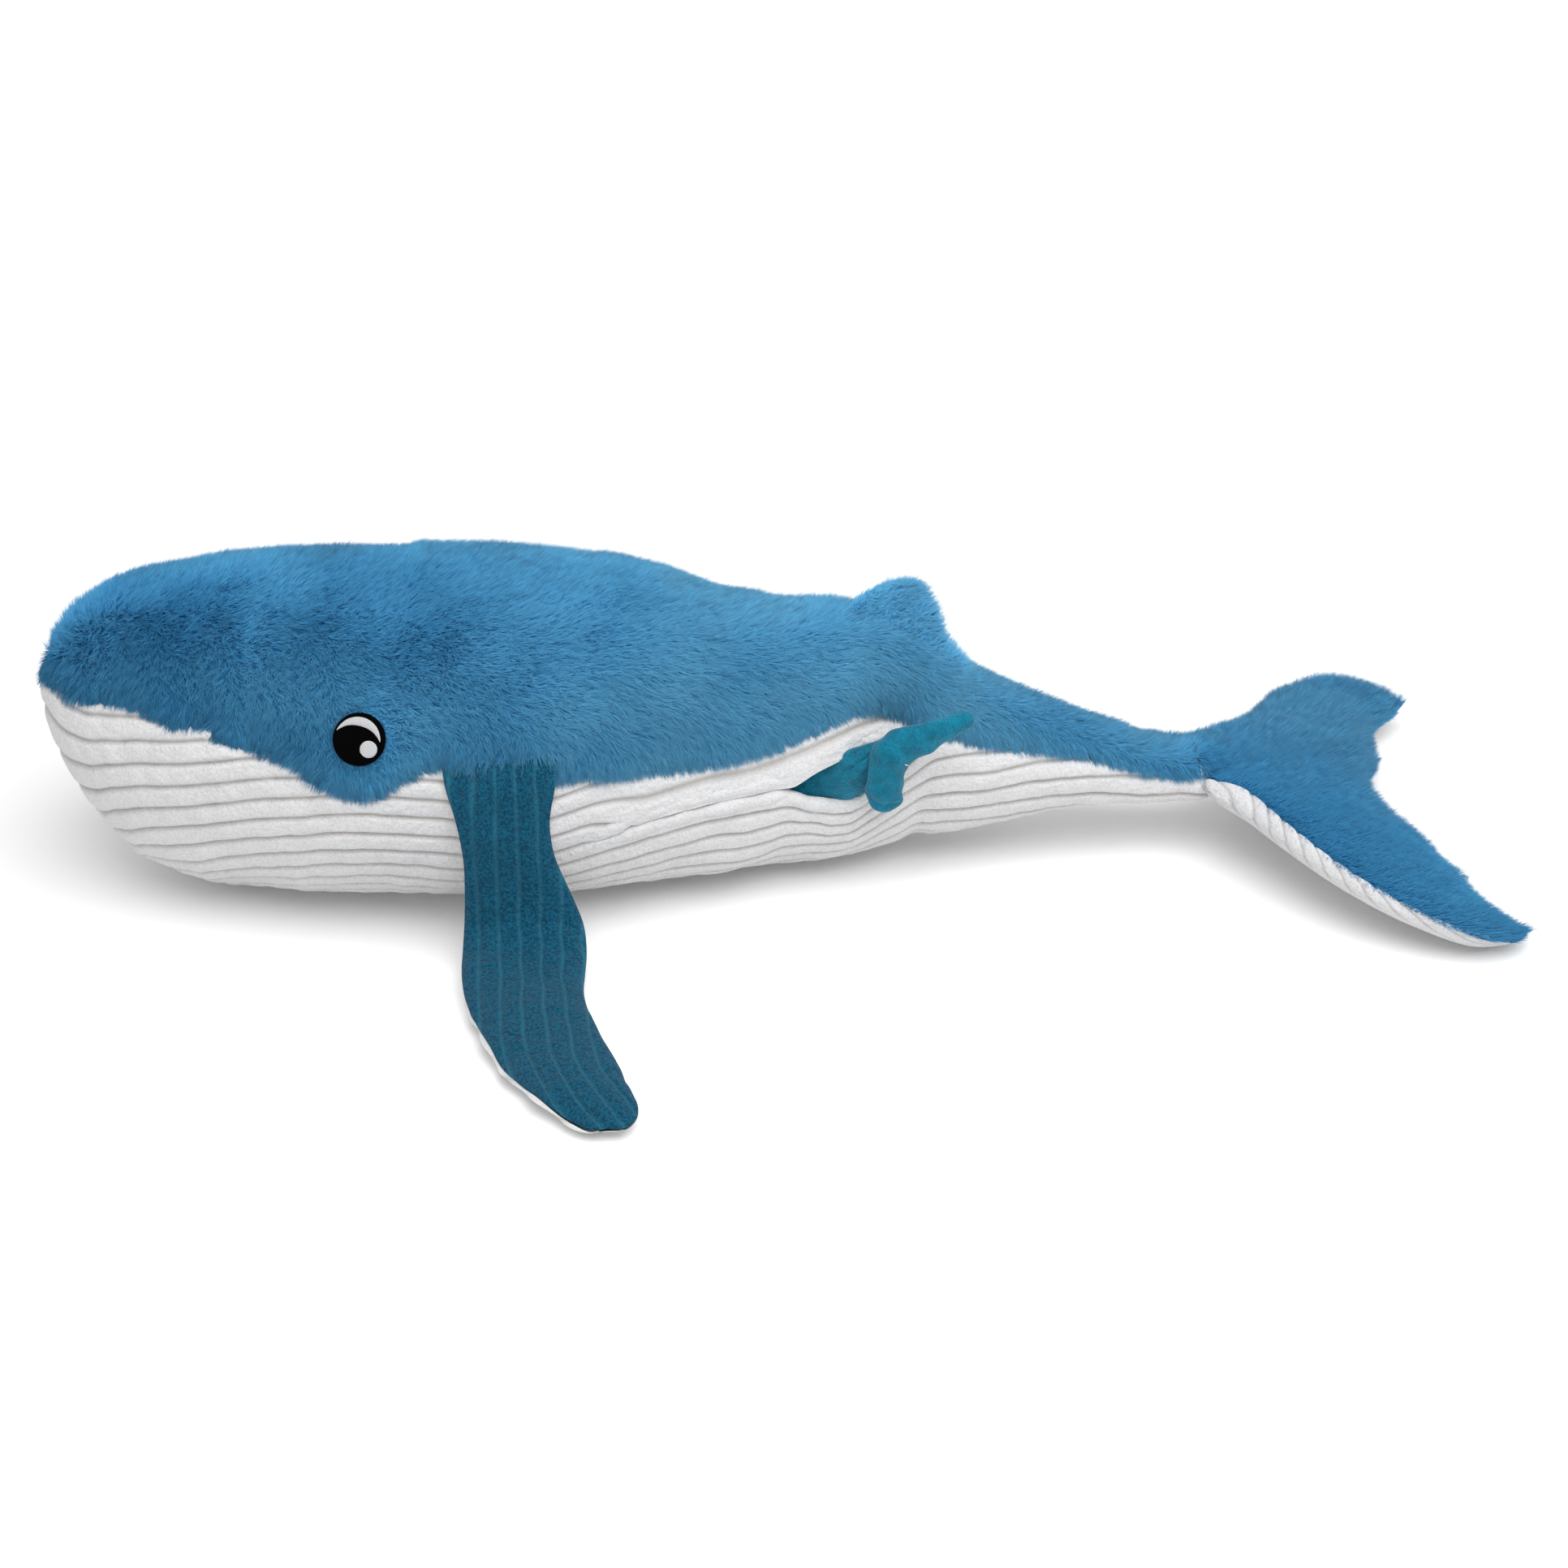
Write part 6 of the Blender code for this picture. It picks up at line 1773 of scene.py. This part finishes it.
class PLUSH_OT_stage(bpy.types.Operator):
    """Floor, light and camera."""

    bl_idname = "plush.stage"
    bl_label = "Stage"

    def execute(self, context):
        settings = settings_of(context).stage
        scene = context.scene
        scene.view_settings.view_transform = "Standard"
        half = 12.0
        corners = np.array([(-half, -half, 0), (half, -half, 0), (half, half, 0), (-half, half, 0)])
        nodes = Nodes("pale_floor")
        floor = new_piece("floor", corners, np.array([(0, 1, 2, 3)]),
                          nodes.finish(tuple(settings.floor), 0.9, specular=0.1))
        self.whiten(nodes, settings.lift)
        lamp_data = bpy.data.lights.new("soft_key", "AREA")
        lamp_data.shape = "DISK"
        lamp_data.size = LAMP_SIZE
        lamp_data.energy = settings.key
        place = Vector(LAMP_PLACE)
        self.stand(scene, "soft_key", lamp_data, place, Vector(LAMP_TARGET) - place)
        scene.world = self.even_light(settings.world)
        camera_data = bpy.data.cameras.new("photo_view")
        camera_data.lens = settings.lens
        camera_data.sensor_width = SENSOR_WIDTH
        level = math.cos(settings.elevation)
        forward = Vector((math.sin(settings.azimuth) * level, math.cos(settings.azimuth) * level,
                          -math.sin(settings.elevation)))
        place = Vector(VIEW_TARGET) - forward * settings.distance
        scene.camera = self.stand(scene, "photo_view", camera_data, place, forward)
        return {"FINISHED"}

    def stand(self, scene, name, data, place, way):
        """A lamp or camera at a place, looking along a way."""
        made = bpy.data.objects.new(name, data)
        scene.collection.objects.link(made)
        made.location = place
        made.rotation_euler = way.to_track_quat("-Z", "Y").to_euler()
        return made

    def even_light(self, strength):
        """World that lights evenly with a strength, and is pure white to the camera and in reflections."""
        world = bpy.data.worlds.new("even_light")
        world.use_nodes = True
        tree = world.node_tree
        backdrop = tree.nodes["Background"]
        seen = tree.nodes.new("ShaderNodeBackground")
        for node, value in ((backdrop, strength), (seen, 1.0)):
            node.inputs["Color"].default_value = (1.0, 1.0, 1.0, 1.0)
            node.inputs["Strength"].default_value = value
        path = tree.nodes.new("ShaderNodeLightPath")
        either = tree.nodes.new("ShaderNodeMath")
        either.operation = "MAXIMUM"
        mix = tree.nodes.new("ShaderNodeMixShader")
        for outlet, inlet in (
            (path.outputs["Is Camera Ray"], either.inputs[0]),
            (path.outputs["Is Glossy Ray"], either.inputs[1]),
            (either.outputs[0], mix.inputs[0]),
            (backdrop.outputs[0], mix.inputs[1]),
            (seen.outputs[0], mix.inputs[2]),
            (mix.outputs[0], tree.nodes["World Output"].inputs["Surface"]),
        ):
            tree.links.new(outlet, inlet)
        return world

    def whiten(self, nodes, strength):
        """Lift the floor towards white for the camera alone, more so far away; it lights nothing."""
        place = nodes.add("ShaderNodeTexCoord").outputs["Object"]
        far = nodes.add("ShaderNodeVectorMath", operation="LENGTH")
        nodes.feed(far.inputs[0], place)
        more = nodes.add("ShaderNodeMapRange")
        for socket, value in zip(("Value", "From Min", "From Max", "To Min", "To Max"),
                                 (far.outputs["Value"], 0.5, 3.0, strength, strength + 0.35)):
            nodes.feed(more.inputs[socket], value)
        path = nodes.add("ShaderNodeLightPath")
        seen = nodes.math("MAXIMUM", path.outputs["Is Camera Ray"], path.outputs["Is Glossy Ray"])
        nodes.feed(nodes.shader.inputs["Emission Color"], (1.0, 1.0, 1.0, 1.0))
        nodes.feed(nodes.shader.inputs["Emission Strength"], nodes.math("MULTIPLY", seen, more.outputs[0]))


class PLUSH_PT_panel(bpy.types.Panel):
    """Settings and pieces of the toy."""

    bl_idname = "PLUSH_PT_panel"
    bl_label = "Plush Whale"
    bl_space_type = "VIEW_3D"
    bl_region_type = "UI"
    bl_category = "Plush Whale"

    def draw(self, context):
        settings = settings_of(context)
        for group in (settings.fur, settings.rib, settings.small, settings.eye, settings.stage):
            box = self.layout.box()
            for key in group.bl_rna.properties.keys():
                if key not in ("rna_type", "name"):
                    box.prop(group, key)
        for operator in OPERATORS:
            self.layout.operator(operator.bl_idname)


OPERATORS = (PLUSH_OT_back, PLUSH_OT_belly, PLUSH_OT_pouch, PLUSH_OT_tail, PLUSH_OT_flukes, PLUSH_OT_fin,
             PLUSH_OT_flippers, PLUSH_OT_eyes, PLUSH_OT_small_whale, PLUSH_OT_stage)
GROUPS = (FurSettings, RibSettings, SmallWhaleSettings, EyeSettings, StageSettings, PlushSettings)


def register():
    """Make the settings, operators and panel known."""
    for kind in (*GROUPS, *OPERATORS, PLUSH_PT_panel):
        bpy.utils.register_class(kind)
    bpy.types.Scene.plush_whale = bpy.props.PointerProperty(type=PlushSettings)


def unregister():
    """Take the settings, operators and panel away."""
    del bpy.types.Scene.plush_whale
    for kind in reversed((*GROUPS, *OPERATORS, PLUSH_PT_panel)):
        bpy.utils.unregister_class(kind)


def main():
    """Dress the toy piece by piece."""
    register()
    for operator in OPERATORS:
        group, name = operator.bl_idname.split(".")
        getattr(getattr(bpy.ops, group), name)()


if __name__ == "__main__":
    main()
